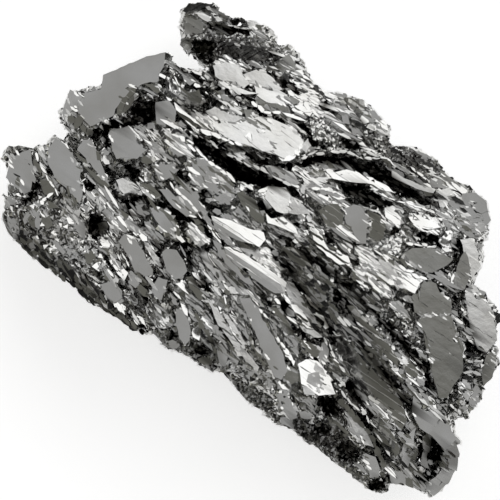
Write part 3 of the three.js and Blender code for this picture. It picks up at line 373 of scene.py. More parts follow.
def middle_left():
    flake(WHITE, 11, 15.9, 11.6, 15.8, 12.3, 16.6, 11.8, 17.2, 11.9, 17.8, 11.6, 17.9, 11.3, 17)
    flake(GREY, 11.6, 14.2, 12.2, 13.4, 13.3, 13.1, 13.9, 13.8, 14.2, 14.8, 15, 15.4, 14.2, 16.3,
        13.2, 16.1, 12.2, 16.3, 11.8, 15.4, lift=0.2)
    hollow(13.6, 17.4, 1, 0.65, 1.2, 35)
    flake(WHITE, 14.8, 17.5, 15.5, 17.5, 15.5, 18.5, 14.9, 18.5)
    flake(SHADED, 14.5, 15.9, 15.6, 15.7, 16, 16.4, 15.4, 16.7, 14.6, 16.6)
    flake(GREY, 15.6, 16.8, 16.8, 16.8, 18.2, 17.3, 17.4, 18, 17, 18.3, 16.1, 17.8)
    hollow(18.1, 18, 0.45, 0.4, 0.8)
    flake(SHADED, 14.6, 18.6, 15.6, 18.8, 16.5, 19.8, 16.4, 20.2, 15.4, 19.9)
    flake(PALE, 12.2, 18.3, 12.8, 18.1, 13.9, 18.6, 14.8, 19.4, 14.6, 19.8, 13.6, 19.4, 12.9, 19.6,
        12.5, 19.2)
    crevice(0.7, 0.8, 13.2, 19.9, 14.1, 19.8, 15.1, 20.4)
    flake(GREY, 13.8, 20.7, 14.6, 20.5, 15, 21.4, 14.7, 22, 14.2, 21.6)
    flake(SHADED, 12.2, 20.5, 12.9, 20.5, 13.3, 21.6, 12.9, 22.1, 12.2, 21.7)
    flake(WHITE, 11.1, 20.4, 11.9, 20.3, 12.2, 21, 11.9, 21.3, 11.4, 20.9)
    flake(PALE, 13.2, 21.1, 13.5, 21, 14.4, 22.2, 14.2, 22.5, 13.9, 22.3)
    crevice(0.3, 0.6, 11.7, 19, 13.2, 21, 14.8, 22.9, 16, 24.6, 17.5, 27.8)
    flake(GREY, 13, 22, 13.9, 22.3, 14.6, 23.2, 14.2, 23.6, 13.3, 23)
    hollow(10.1, 22.7, 1.3, 1.15, 1.3, 60)
    flake(SHADED, 10.2, 22.4, 11.2, 22.2, 11.3, 23.3, 10.5, 23.5)
    for k in range(4):
        seam(PALE if k % 2 else BLACK, 0.25, 9.1 + 0.4 * k, 20, 9 + 0.5 * k, 21.3)
    flake(GREY, 15.4, 20.9, 16.6, 21.2, 17.6, 22.6, 17.8, 23.6, 16.8, 23.2, 16, 22.2)
    flake(LIGHT, 19.6, 24.4, 20.4, 24.6, 21.8, 26.6, 22.8, 28.2, 22, 28, 20.8, 26.6)
    flake(GREY, 14.8, 22.3, 15.5, 22.2, 15.7, 23.2, 15.4, 23.9, 15, 23.2)
    flake(WHITE, 18, 23.3, 18.8, 24.2, 18.5, 24.3, 17.9, 23.8)
    flake(GREY, 20.6, 17.8, 21.6, 18.2, 22.1, 19.4, 21.4, 19.8, 20.6, 18.9)
    hollow(20.9, 19.7, 0.7, 0.5, 0.7, 45)
    seam(WHITE, 0.22, 17.2, 18.6, 19, 20.3, 21, 22.4, 22.7, 24.9)
    seam(WHITE, 0.2, 16.6, 19.6, 19, 21.5, 20.6, 22.6, 21.4, 23.3)
    seam(SHADED, 0.35, 17, 19.8, 19.2, 21.6, 20.6, 23.2)
    flake(GREY, 16.3, 19.2, 17.2, 19.2, 18.6, 20.6, 19.6, 21.8, 18.9, 21.8, 17.4, 20.6)


def knob():
    flake(BLACK, 18.2, 1.2, 18.9, 0.4, 21.5, 0.6, 21.7, 1, 20.6, 0.9, 19.8, 1.3, 18.8, 1.6, lift=0.2)
    flake(WHITE, 20.6, 0.9, 21, 0.8, 21.8, 1.8, 22.3, 2.3, 21.8, 2.4, 21.2, 1.6, lift=0.3)
    flake(PALE, 19.5, 1.5, 20.2, 1.4, 21.4, 2.2, 20.8, 2.4, 20, 1.9, lift=0.25)
    seam(WHITE, 0.15, 21.8, 2, 22.8, 2.6, 24, 3, 24.9, 3)
    crevice(0.8, 0.8, 20.8, 2.6, 22.6, 3.1, 24.8, 3.4)
    hollow(23.8, 2.2, 0.9, 0.5, 1, 10)
    flake(LIGHT, 24.7, 2.4, 25.4, 2.3, 25.5, 2.9, 25, 3.1)
    flake(SHADED, 25.6, 2.6, 26.1, 2.7, 26.2, 3.2, 25.7, 3.1)
    flake(DUSK, 18.3, 2, 19.4, 1.8, 20.4, 2.6, 20.2, 3.6, 19.2, 3.8, 18.5, 3.4, lift=0.05)
    hollow(20.4, 4.9, 1.3, 0.7, 1, 10)
    flake(SHADED, 18.2, 4.3, 18.9, 4, 19.3, 5, 18.8, 5.3, 18.1, 4.8)
    flake(BLACK, 21.6, 4.2, 24, 4.6, 26.4, 5, 27.2, 5.8, 25.8, 6.3, 23.6, 5.9, 22, 5.6, lift=0)
    flake(SHADED, 27.8, 5.4, 29, 4.3, 29.4, 4.4, 28.8, 5.2, 28, 5.7)
    flake(DUSK, 27.6, 6.4, 28.8, 5.6, 29.4, 6.4, 29.6, 7.2, 28.8, 7.6, 28, 7.4)
    seam(WHITE, 0.12, 27.5, 6.5, 28.8, 5.4, 29.3, 4.7)
    seam(WHITE, 0.15, 28.8, 7.7, 28.2, 7.2, 27.6, 6.6)
    seam(BLACK, 0.4, 30.3, 7.6, 31.4, 8.7, 32.4, 9.6)
    flake(SHADED, 30, 6.4, 30.7, 7.4, 30.3, 8, 29.6, 7)


def upper_middle():
    flake(WHITE, 26.5, 6.8, 27.2, 6.8, 27.8, 7.5, 27.1, 7.7)
    crevice(0.7, 0.9, 26.9, 7.6, 28.4, 8.6, 29.8, 9.4)
    flake(LIGHT, 24.3, 7.8, 25.6, 7.3, 27, 7.9, 28.2, 9.2, 27.8, 9.4, 26.4, 9, 25, 8.6)
    flake(LIGHT, 21.4, 7, 22.6, 6.5, 23.9, 6.9, 24.3, 7.9, 25, 8.7, 24.4, 9.2, 22.9, 8.8, 21.6, 8)
    flake(PALE, 22.2, 8.9, 24.4, 9.4, 25.8, 9.8, 24.6, 9.9, 22.8, 9.3, lift=0.05)
    flake(PALE, 25.4, 9, 27.2, 9.5, 28.3, 9.9, 28.4, 10.9, 26.6, 10.6, 25.6, 9.9)
    flake(WHITE, 28.9, 11, 30, 10.8, 31.2, 11.4, 30.8, 12, 29.4, 11.8)
    crevice(0.32, 0.7, 21.6, 9, 22.8, 9.8, 25, 11.2, 26.6, 12, 28.8, 12.4, 30, 12.6)
    flake(PALE, 21.9, 10.5, 23, 10.7, 24.3, 11.6, 24.2, 12, 23, 11.4)
    flake(LIGHT, 20.7, 11.6, 21.6, 11.2, 22.6, 11.7, 24.3, 12.3, 23.6, 12.7, 22.4, 12.6, 21.2, 12.2)
    flake(DUSK, 24.4, 11.4, 25.2, 11.5, 25.9, 13.2, 25.2, 13.4, 24.7, 12.6)
    flake(DUSK, 28.5, 10, 29.4, 10.2, 29.9, 10.5, 28.9, 10.9)
    flake(PALE, 21.4, 12.6, 23.6, 12.9, 25.8, 12.1, 27.6, 12.5, 29.4, 13.4, 30.2, 14.6, 29.6, 15.7,
        28.6, 16.2, 26.6, 15.6, 24, 14.7, 21.6, 13.7, lift=0.05)
    flake(PALE, 25.2, 13.8, 26.2, 13.7, 27.2, 14.4, 27.2, 15.4, 26.2, 15.5, 25.2, 14.8, lift=0.2)
    flake(PALE, 27, 12.7, 28, 12.8, 28, 13.6, 27.2, 13.4)
    flake(WHITE, 17.7, 10.8, 18.6, 11.6, 20, 12.8, 20.6, 13.4, 20.2, 13.7, 19, 12.8, 18, 11.8)
    seam(WHITE, 0.4, 20.4, 13.6, 22.2, 14.3, 24.2, 14.9)
    seam(WHITE, 0.4, 27.2, 15.6, 28.4, 16.3, 29.4, 15.8, 30.2, 14.8)
    seam(WHITE, 0.4, 28.8, 9.4, 30.4, 10.6, 31.6, 12)
    seam(WHITE, 0.35, 24.4, 10.2, 26.4, 11.4, 28.8, 11.9, 31, 11.4)
    crevice(1.3, 1.6, 19.6, 14.4, 22, 16.1, 24.4, 17.6, 27, 18.6, 29.4, 19.7)
    crevice(0.6, 0.9, 24.6, 15.6, 26.6, 16.5, 28.9, 17.1)
    crevice(0.4, 0.6, 26.5, 15.6, 28.3, 15.9)
    crevice(0.3, 0.6, 18.4, 13.2, 20.4, 14.2, 22.6, 14.9, 24.6, 15.5)
    flake(SHADED, 26.6, 16.2, 28, 16.6, 28.4, 16.9, 27.4, 16.9)
    seam(WHITE, 0.3, 20.8, 14.4, 22, 15.2, 23, 15.7)
    flake(PALE, 22.9, 14.8, 23.6, 14.8, 24.6, 15.5, 24.4, 15.8, 23.4, 15.5)
    seam(WHITE, 0.32, 22.9, 15.7, 25.2, 16.9, 27.4, 18, 29.7, 19)
    flake(LIGHT, 26.4, 16.9, 28, 17.1, 29.2, 17.7, 29.8, 18.6, 29.4, 18.8, 27.8, 18)
    seam(WHITE, 0.25, 19.1, 14.9, 20.4, 16.1, 21.6, 16.9, 22.8, 17.7, 23.6, 18.5)
    seam(PALE, 0.3, 16.6, 13.6, 18.4, 15)
    seam(WHITE, 0.3, 17, 13.4, 18.8, 14.6)
    seam(SHADED, 0.4, 21, 17, 22.4, 17.9, 23.4, 18.9)
    flake(WHITE, 24.1, 18.4, 24.6, 18.5, 24.3, 19.3, 24, 19.2)
    hollow(24.9, 19.1, 0.25, 0.4, 0.6)


def upper_right():
    flake(SHADED, 34.4, 9.8, 35.4, 9.9, 36.4, 10.1, 36.5, 10.7, 36.2, 11.5, 35.6, 11.6, 34.8, 10.9)
    flake(GREY, 36.8, 11.2, 37.4, 11.1, 37.9, 12, 37.6, 12.9, 37, 12.6)
    crevice(0.35, 0.6, 34.6, 10.8, 36, 12, 37.5, 13.1)
    seam(WHITE, 0.13, 34.7, 10.6, 36.1, 11.8, 37.6, 12.9)
    flake(GREY, 35, 12.9, 35.9, 13, 35.9, 13.9, 35.2, 13.6)
    flake(GREY, 34, 11.4, 34.7, 11.4, 34.9, 12.6, 34.2, 12.4)
    flake(WHITE, 37.8, 12.2, 38.4, 12, 38.7, 12.8, 38.2, 13)
    hollow(34.8, 14.5, 1.2, 0.5, 1, 20)
    hollow(32.4, 10.8, 0.5, 0.9, 0.8, 60)
    crevice(0.5, 0.8, 30.2, 12.8, 31, 14.4, 32.4, 15.1)
    flake(LIGHT, 29.8, 15, 30.6, 14.2, 30.9, 14.9, 30.4, 15.6)
    crevice(1.15, 1.6, 30, 16.7, 32, 16.2, 34.6, 16.4, 37, 17.1, 39.2, 18.3, 41.4, 19.6, 43.7, 20.9)
    crevice(1.5, 1.6, 34, 18.8, 36, 19.5, 37.6, 20.2, 38.5, 20.6)
    seam(WHITE, 0.25, 30, 16.2, 31.4, 15.6, 34.4, 15.5, 36.2, 16.1, 38.4, 16, 39, 16.6)
    flake(WHITE, 32.6, 17.6, 34.4, 17.2, 35.8, 17.6, 37, 17.9, 38.6, 18.8, 39.2, 19.4, 38.2, 19.2,
        36.8, 18.6, 34.6, 18.4, 33, 18.1, lift=0.3)
    seam(WHITE, 0.2, 36.4, 19, 37.6, 19.5, 39.4, 20.2, 41.8, 20.9, 43, 21.3)
    flake(PALE, 38.9, 17.2, 40.2, 18, 41.6, 18.6, 43.2, 19, 43, 19.4, 41.4, 19, 39.8, 18.3, 38.9, 17.8,
        lift=0.25)
    flake(LIGHT, 43.3, 19.2, 44.6, 18.8, 45.2, 19.6, 44.4, 20.6, 43.8, 21)
    flake(DUSK, 43.5, 17.2, 44, 17.1, 46, 18.5, 45.8, 18.9, 44.4, 18.2)
    for k in range(5):
        seam(WHITE if k % 2 else BLACK, 0.28, 40 + 0.5 * k, 16.4 - 0.1 * k,
            42.4 + 0.35 * k, 18.5 - 0.35 * k)
    for k in range(4):
        seam(BLACK, 0.5, 38.8 + 0.9 * k, 15 + 0.3 * k, 39.7 + 0.9 * k, 15.5 + 0.3 * k)
    flake(SHADED, 30.2, 17.8, 31.4, 17.1, 32.2, 17.3, 32.4, 17.8, 31.2, 17.9)
    flake(LIGHT, 29.9, 18.6, 30.4, 18.4, 30.8, 18.9, 30.2, 19.6, 29.9, 19.4)
    for k in range(4):
        seam(WHITE if k % 2 else GREY, 0.35, 30.4 + 0.6 * k, 18.6 + 0.35 * k, 33 + 0.3 * k, 19 + 0.4 * k)
    flake(SHADED, 31.6, 21.2, 32.4, 20.7, 33.4, 20.6, 34, 21.4, 33.9, 22.3, 33.2, 22.9, 32.2, 22.6,
        lift=0.2)
    flake(GREY, 34, 21, 35, 20.6, 35.9, 20.9, 36.2, 22, 36.2, 24.4, 35.2, 24.4, 34.9, 23.2, 34.2, 22.4,
        lift=0.2)
    flake(SHADED, 36.3, 21.2, 37.4, 21.6, 38.1, 22.6, 37.9, 23.8, 37.2, 24.3, 36.2, 24.3, lift=0.2)
    seam(PALE, 0.15, 36, 20.8, 37.2, 21.1, 38, 22, 38.3, 22.9)
    flake(WHITE, 38, 20.9, 38.8, 20.7, 39.6, 21.9, 39.5, 22.6, 38.6, 22.4, 38.1, 21.8)
    flake(WHITE, 40.4, 21.8, 41.4, 21.6, 42.8, 22.2, 43.6, 22.8, 42.4, 23, 41.2, 22.8)
    crevice(0.8, 0.9, 41.2, 23.5, 42.8, 23.8, 43.7, 24.5)
    hollow(39.1, 23.2, 0.5, 0.4, 0.7)
    flake(DUSK, 39.6, 25.7, 40.4, 25, 40.7, 24.8, 42.2, 24.8, 43.2, 25, 44.6, 25.9, 43.8, 26.6, 42.6, 27.2,
        41.6, 27.1, 40.6, 26.6, lift=0.2)
    seam(WHITE, 0.25, 40.2, 24.3, 41.6, 24.6, 42.8, 24.7)


def right_end():
    flake(BLACK, 45.8, 19, 46.9, 18.5, 47.3, 19, 46.4, 19.2)
    flake(GREY, 46, 19.4, 47.4, 19.3, 48.5, 20.3, 48.6, 21.1, 48, 21.4, 46.6, 20.6)
    flake(GREY, 47.6, 21.4, 48.7, 21.2, 49, 22, 48.5, 22.6, 47.8, 22.2)
    flake(LIGHT, 45.6, 24, 46.6, 23.8, 47.2, 24.8, 47.5, 26.6, 46.6, 27.6, 46.2, 26.2, 45.9, 25, lift=0.2)
    flake(DUSK, 45.9, 25.1, 46.2, 25.7, 46.4, 26.7, 46.3, 27.8, 45.9, 28.8, 44.8, 29.3, 44.6, 28.8,
        45, 27.2, 45.4, 25.9, lift=0.2)
    hollow(45.2, 24.9, 0.8, 0.45, 1, 80)
    crevice(0.5, 0.8, 43.5, 28.9, 43.8, 27.4, 44.6, 26.4, 45, 26)
    seam(WHITE, 0.25, 44.1, 29.3, 44.5, 28, 45, 26.8)
    flake(DUSK, 40.6, 29.5, 41.7, 28.1, 42.4, 28, 42.9, 28.2, 43.3, 29.1, 43.8, 29.6, 44.4, 30.1,
        44.4, 31.1, 43, 31.2, 41.9, 31.3, 40.9, 31, lift=0.3)
    flake(DUSK, 41.2, 31.7, 41.9, 31.5, 44.4, 31.3, 44.7, 32.8, 44.9, 33.8, 45.6, 35.2, 45.6, 36.8,
        44.6, 38.4, 44.2, 39.4, 43.4, 39.4, 42.7, 37.1, 42.4, 34.7, 42, 33.1, lift=0.2)
    for k in range(6):
        seam(SHADED if k % 2 else GREY, 0.1, 41.6 + 0.05 * k, 30.9, 41.2 + 0.62 * k, 28.9 + 0.06 * k * k)
    seam(PALE, 0.16, 41.9, 31.35, 43.2, 31.2, 44.4, 31.15)
    flake(LIGHT, 46, 28.9, 46.7, 28.3, 47.1, 28.5, 47.5, 29.5, 48.5, 30.6, 48.9, 32.3, 49.1, 33.8,
        48.1, 34.9, 47.2, 34.7, 46.6, 33.2, 46.2, 31.2, lift=0.2)
    flake(BLACK, 48.8, 31, 49.5, 31.2, 49.7, 32.4, 49.5, 33.2, 49.1, 32.6)
    crevice(0.35, 0.8, 45.9, 30.6, 46.2, 32.2, 46.8, 34, 47.6, 35.2)
    for k in range(5):
        seam(PALE if k % 2 else BLACK, 0.3, 45.9, 35 + 0.6 * k, 47.6, 35.5 + 0.5 * k)
    flake(DUSK, 48.2, 35.4, 49.2, 34.6, 49.2, 36, 48.8, 37.6, 48, 38.4, 47.8, 37.2)
    flake(LIGHT, 45.8, 37.6, 46.4, 37.8, 46.7, 38.8, 46.3, 39.8, 45.7, 38.9)
    flake(GREY, 46.7, 39.6, 47.4, 38.4, 47.9, 38.7, 47.3, 39.8, 46.8, 40.4)


def centre():
    flake(SHADED, 23.7, 19.5, 24.3, 19.4, 25.5, 20.2, 26.3, 21.9, 26.4, 22.4, 25.9, 22.4, 25, 21.6,
        24.2, 20.7, lift=0.2)
    flake(PALE, 26.8, 18.9, 28.4, 19, 28.9, 19.8, 28.6, 21.5, 27.5, 21.3, 26.4, 20, lift=0.2)
    flake(LIGHT, 28.9, 19.8, 30, 20.6, 30.8, 21.5, 29.2, 21.6, 28.6, 21.4, lift=0.2)
    seam(WHITE, 0.4, 25.8, 19.3, 27.2, 19.2, 28.4, 19.4)
    crevice(0.6, 0.9, 25.6, 20.5, 26.6, 21.3, 28.2, 22)
    flake(WHITE, 26.5, 21.5, 27, 22, 27.8, 21.9, 28.2, 21.8, 29.4, 22.9, 29.6, 23.5, 28.8, 23.2, 27.4, 22.6,
        26.7, 22.4, lift=0.2)
    flake(WHITE, 24.7, 21.7, 25.2, 21.9, 25.5, 22.4, 25.1, 22.4)
    crevice(0.35, 0.7, 29, 21.8, 29.6, 22.8, 30.3, 23.5)
    flake(WHITE, 30.7, 22.8, 31.6, 23, 32.2, 24.4, 32.6, 25, 34.4, 25.6, 34.6, 26.2, 33.6, 26.4, 32.4, 25.6,
        31.2, 24.4)
    hollow(32.7, 23.9, 0.65, 0.42, 0.9, 70)
    flake(WHITE, 21.3, 21.7, 22.4, 22, 23.6, 22.4, 24.8, 22.9, 26.3, 23.3, 26.5, 24, 25.9, 24.7, 24.8, 24.3,
        23.6, 24, 22.4, 23.3, 21.6, 22.5, lift=0.2)
    flake(LIGHT, 23, 24, 24.6, 24.2, 25.8, 24.9, 26.6, 26.3, 25.6, 26, 24.2, 25)
    flake(WHITE, 22.5, 24.7, 23.4, 24.7, 24.6, 25.5, 25.9, 26.3, 27.3, 27.2, 28.5, 28.1, 28.3, 29.1,
        27.3, 29.1, 26, 28.2, 24.7, 27.2, 23.4, 26.2, 22.8, 25.6, lift=0.25)
    flake(GREY, 21.4, 24, 22.2, 24.4, 23.4, 26.2, 24.8, 27.4, 25.4, 28.4, 24.6, 28.2, 23, 26.6, 22, 25.4)
    flake(WHITE, 26.3, 28.9, 27, 28.6, 28, 28.8, 27.9, 29.4, 27.2, 29.7, 26.5, 29.5)
    crevice(0.5, 1, 25.1, 28.9, 26, 29.1, 26.6, 30, 27.6, 30.1, 28.2, 29.8, 28.6, 30.8, 29.2, 32,
        29.5, 32.9, 30.2, 33.4, 31.2, 33.8, 32, 33.8)
    flake(SHADED, 26.9, 30.5, 27.6, 30.5, 28.4, 31.6, 29.2, 32.8, 29, 33.4, 28.4, 33, 27.7, 31.8)
    seam(WHITE, 0.15, 25.6, 29.6, 26.6, 30.5, 27.6, 32.2, 29, 34.2)
    seam(BLACK, 0.3, 25.4, 29.4, 26.4, 30.8, 27.4, 32.6, 28.6, 34.4, 29.8, 35.6)
    flake(WHITE, 30.2, 29.2, 30.6, 29.5, 31.8, 31, 32.7, 32.5, 32.3, 32.7, 31.6, 31.9, 30.8, 30.8,
        lift=0.25)
    flake(WHITE, 28.9, 30.2, 29.5, 30.3, 30.5, 31.6, 31.1, 32.6, 30.5, 32.5, 29.5, 31.3, lift=0.2)
    flake(LIGHT, 28.2, 27.8, 29.2, 28.2, 30.4, 30.2, 31.6, 32.2, 30.6, 31.8, 29.4, 30.6, 28.6, 29.2)
    flake(PALE, 29.5, 32, 30.4, 32.2, 31.6, 33, 32, 33.4, 31.2, 33.4, 30.2, 32.9)
    flake(SHADED, 29.3, 33.2, 30.4, 33.9, 31.8, 34.4, 31.4, 35.3, 30.2, 34.8)


def dark_channel():
    crevice(0.9, 0.9, 26.8, 22.9, 28.6, 24.2, 31, 25.8, 33.4, 27.6, 35.2, 29.4, 37.4, 31.6)
    crevice(0.7, 1, 27.2, 23.8, 28.6, 26.2, 30.2, 29, 31.6, 31, 33, 33)
    flake(SHADED, 28.1, 24.7, 29.2, 24.7, 30.1, 25.3, 31.1, 26.8, 30, 26.6, 28.8, 25.8, lift=0.35)
    seam(WHITE, 0.2, 30.1, 25.2, 31.1, 26.1)
    flake(SHADED, 34.4, 30.4, 35, 30.4, 36.4, 31.8, 38, 33.6, 39.4, 35.4, 39.2, 36.2, 37.8, 34.8, 36, 32.6,
        lift=0.3)
    flake(SHADED, 39.8, 36, 40.6, 35.9, 41.4, 36.8, 41.3, 37.4, 40.6, 37.3, 40, 36.8, lift=0.25)
    flake(SHADED, 32.6, 33.4, 33.9, 33.3, 35.1, 34.6, 36.4, 36.1, 38.3, 38.2, 39.8, 39.9, 40.3, 41.5,
        39.8, 42.6, 38.8, 42, 38, 40.8, 36.6, 39.5, 35.9, 37.6, 34.4, 36.8, 33.3, 35.6, lift=0.2)
    crevice(0.8, 1, 37.4, 31.4, 39.4, 33.6, 41.2, 35.6, 42.3, 37.2, 42.9, 39.2)
    crevice(0.9, 0.7, 35.4, 33.8, 37.6, 36.4, 39.6, 38.6, 40.8, 40.4)
    seam(WHITE, 0.18, 38.6, 32.8, 40.6, 34.6)
    seam(WHITE, 0.2, 40, 35, 41.6, 36.6, 42.2, 37.8)
    seam(WHITE, 0.15, 34.6, 33.6, 36, 35)
    seam(GREY, 0.2, 36.8, 31.2, 38.8, 32.8, 40.4, 34.2)
    seam(WHITE, 0.22, 32.2, 33.4, 33.1, 35.3, 34.2, 36.7)
    flake(WHITE, 39.6, 27.2, 40.4, 27.3, 41.4, 28.1, 40.8, 29.2, 40.2, 28.9, 39.5, 28.2, lift=0.05)
    flake(LIGHT, 37.4, 25.8, 38.4, 26.2, 39.3, 27.2, 38.9, 28, 38, 27.4, 37.3, 26.6, lift=0.05)
    seam(WHITE, 0.25, 37, 25, 38.6, 26, 40, 27, 41.9, 28)
    seam(SHADED, 0.3, 37.6, 24.9, 39.4, 26, 41, 27.1)


def lower_left():
    flake(GREY, 12.4, 24.2, 13, 23.4, 14.2, 24.3, 14.9, 25.4, 15.7, 26.9, 15.7, 27.4, 14.9, 27.5,
        13.9, 26.9, 13.4, 25.6, lift=0.2)
    flake(GREY, 15.6, 28.6, 16.2, 27.6, 17.1, 27.9, 16.9, 28.6, 16.5, 29.8, 16, 29.5)
    flake(PALE, 14.6, 24.2, 15.2, 24.3, 16.4, 26.2, 17.3, 27.8, 17.2, 28, 16.2, 26.8, 15.2, 25.2)
    flake(GREY, 16.6, 25.2, 17, 24.9, 18, 25, 18.6, 25.9, 19, 27, 18.4, 27.7, 17.5, 27.8, 16.9, 26.5,
        lift=0.2)
    hollow(20.5, 25.4, 0.6, 0.55, 0.9, 50)
    flake(WHITE, 10.5, 24.2, 11.3, 24, 11.6, 24.6, 11.2, 24.8, 10.7, 24.6)
    flake(GREY, 8.1, 22.6, 8.9, 22.4, 9.2, 23.6, 8.7, 24.2, 8.3, 23.6)
    flake(WHITE, 9.8, 26.6, 10.4, 26.1, 10.5, 27, 10.7, 27.6, 10.3, 27.8, 9.8, 27.3)
    flake(WHITE, 12.1, 27, 12.9, 26.8, 13.3, 27.2, 12.9, 28)
    flake(WHITE, 11.5, 26, 12, 25.8, 12.1, 26.3, 11.7, 26.4)
    seam(WHITE, 0.25, 12.1, 25.2, 13, 26.8)
    seam(WHITE, 0.2, 12.8, 25.2, 13.4, 26.6)
    flake(GREY, 10.6, 28.3, 11.6, 28, 12.2, 28.6, 12.7, 29.6, 12, 30, 11.2, 29.6, lift=0.2)
    hollow(12.6, 28.3, 0.55, 0.35, 0.7, 45)
    flake(SHADED, 10.8, 24.8, 12, 24.7, 11.9, 25.4, 11.2, 25.5)
    flake(GREY, 13.1, 27.4, 13.9, 27.5, 14.3, 28.2, 13.9, 28.7, 13.2, 28.2)
    flake(SHADED, 14, 28.6, 14.4, 28.3, 15.2, 29, 15.2, 29.6, 14.6, 29.5)
    flake(SHADED, 16.5, 30.3, 17.1, 30, 17.4, 31, 17, 31.8, 16.5, 31.2)
    flake(GREY, 5.8, 24, 6.4, 24.3, 7.2, 25.2, 6.9, 25.5, 6.1, 24.8)
    flake(SHADED, 9, 25.4, 9.8, 25, 10.2, 25.6, 9.6, 26.4, 9.2, 26.2)
    hollow(20.3, 28.2, 0.9, 0.75, 0.9, 50)
    seam(WHITE, 0.15, 19.8, 28, 20.2, 28.5, 20.7, 28.6)
    flake(SHADED, 18.9, 27.6, 19.5, 27.5, 20.4, 29, 21, 29.8, 20.2, 29.8, 19.2, 28.6)
    flake(SHADED, 21, 29, 22.2, 29.4, 23, 30.3, 22.9, 31, 21.9, 30.4, 21.2, 29.7)
    flake(PALE, 20.9, 29.6, 21.4, 29.9, 22.4, 31.4, 23.4, 33.2, 24.9, 35, 25.9, 36.2, 25.7, 36.6,
        24.6, 35.6, 23.2, 33.8, 21.9, 32, lift=0.3)
    flake(PALE, 22.4, 31, 22.9, 31.2, 23.8, 32.6, 24.6, 34, 24.4, 34.2, 23.4, 33, lift=0.25)
    flake(WHITE, 18.1, 28.8, 18.5, 28.6, 19, 30.2, 19, 31.4, 18.5, 30.8, 18.2, 29.8)
    flake(GREY, 17.9, 30.6, 18.5, 30.8, 19.1, 31.8, 19.3, 32.8, 19.2, 33.7, 18.8, 34.1, 18.2, 33.4,
        17.9, 32.2, lift=0.2)
    flake(WHITE, 19.3, 32, 19.9, 31.9, 20.3, 32.8, 20.1, 33.7, 19.5, 33.4)
    seam(SHADED, 0.5, 19.8, 31, 20.6, 32.6, 21.3, 34)
    flake(GREY, 24, 29.6, 25, 29.6, 25.9, 30.6, 27, 32.6, 28.2, 35, 28.6, 36.6, 28, 37.4, 27.2, 37,
        26.6, 35.4, 25.6, 33.2, 24.8, 31.4, lift=0.25)
    seam(WHITE, 0.32, 25.3, 29.6, 26.4, 31, 27.2, 32.6, 28.2, 34.4, 29, 35.6, 29.7, 36.4)
    seam(SHADED, 0.3, 23.4, 29.8, 24.2, 31.8, 25.2, 34, 26.4, 36.2)
    hollow(21.4, 33.8, 0.6, 0.65, 0.8)
    flake(SHADED, 21.8, 33.2, 22.6, 33.3, 23.4, 34.4, 22.9, 34.8, 22.2, 34.2)
    flake(GREY, 21.8, 34.6, 22.6, 34.4, 22.9, 35.2, 22.6, 36.2, 22.2, 36.3, 21.9, 35.4)
    hollow(20.2, 34.8, 0.8, 0.7, 0.8)
    hollow(17.5, 33.5, 0.7, 0.45, 0.7, 20)
    flake(SHADED, 19.8, 35.8, 20.6, 35.6, 21.3, 35.9, 21.2, 36.4, 20.4, 36.4)
    flake(GREY, 16.9, 34, 17.8, 33.9, 18.2, 34.3, 17.7, 34.8, 17.1, 34.7)
    hollow(22.6, 37, 0.7, 0.6, 0.7)
    hollow(14.5, 32.8, 0.7, 0.6, 0.7)
    # thin dark layers that step down to the lower left edge
    for k in range(5):
        step = 0.32 * k
        seam(SHADED if k % 2 else BLACK, 0.32, 2.2 - 0.5 * step, 23 + step, 4.6 - 0.6 * step, 25.2 + step,
            7.4 - 0.6 * step, 27.6 + step)
        seam(BLACK if k % 2 else SHADED, 0.32, 7.6 - 0.5 * step, 27.8 + 0.9 * step,
            10.6 - 0.5 * step, 30.2 + 0.8 * step, 14 - 0.4 * step, 32.6 + 0.5 * step)


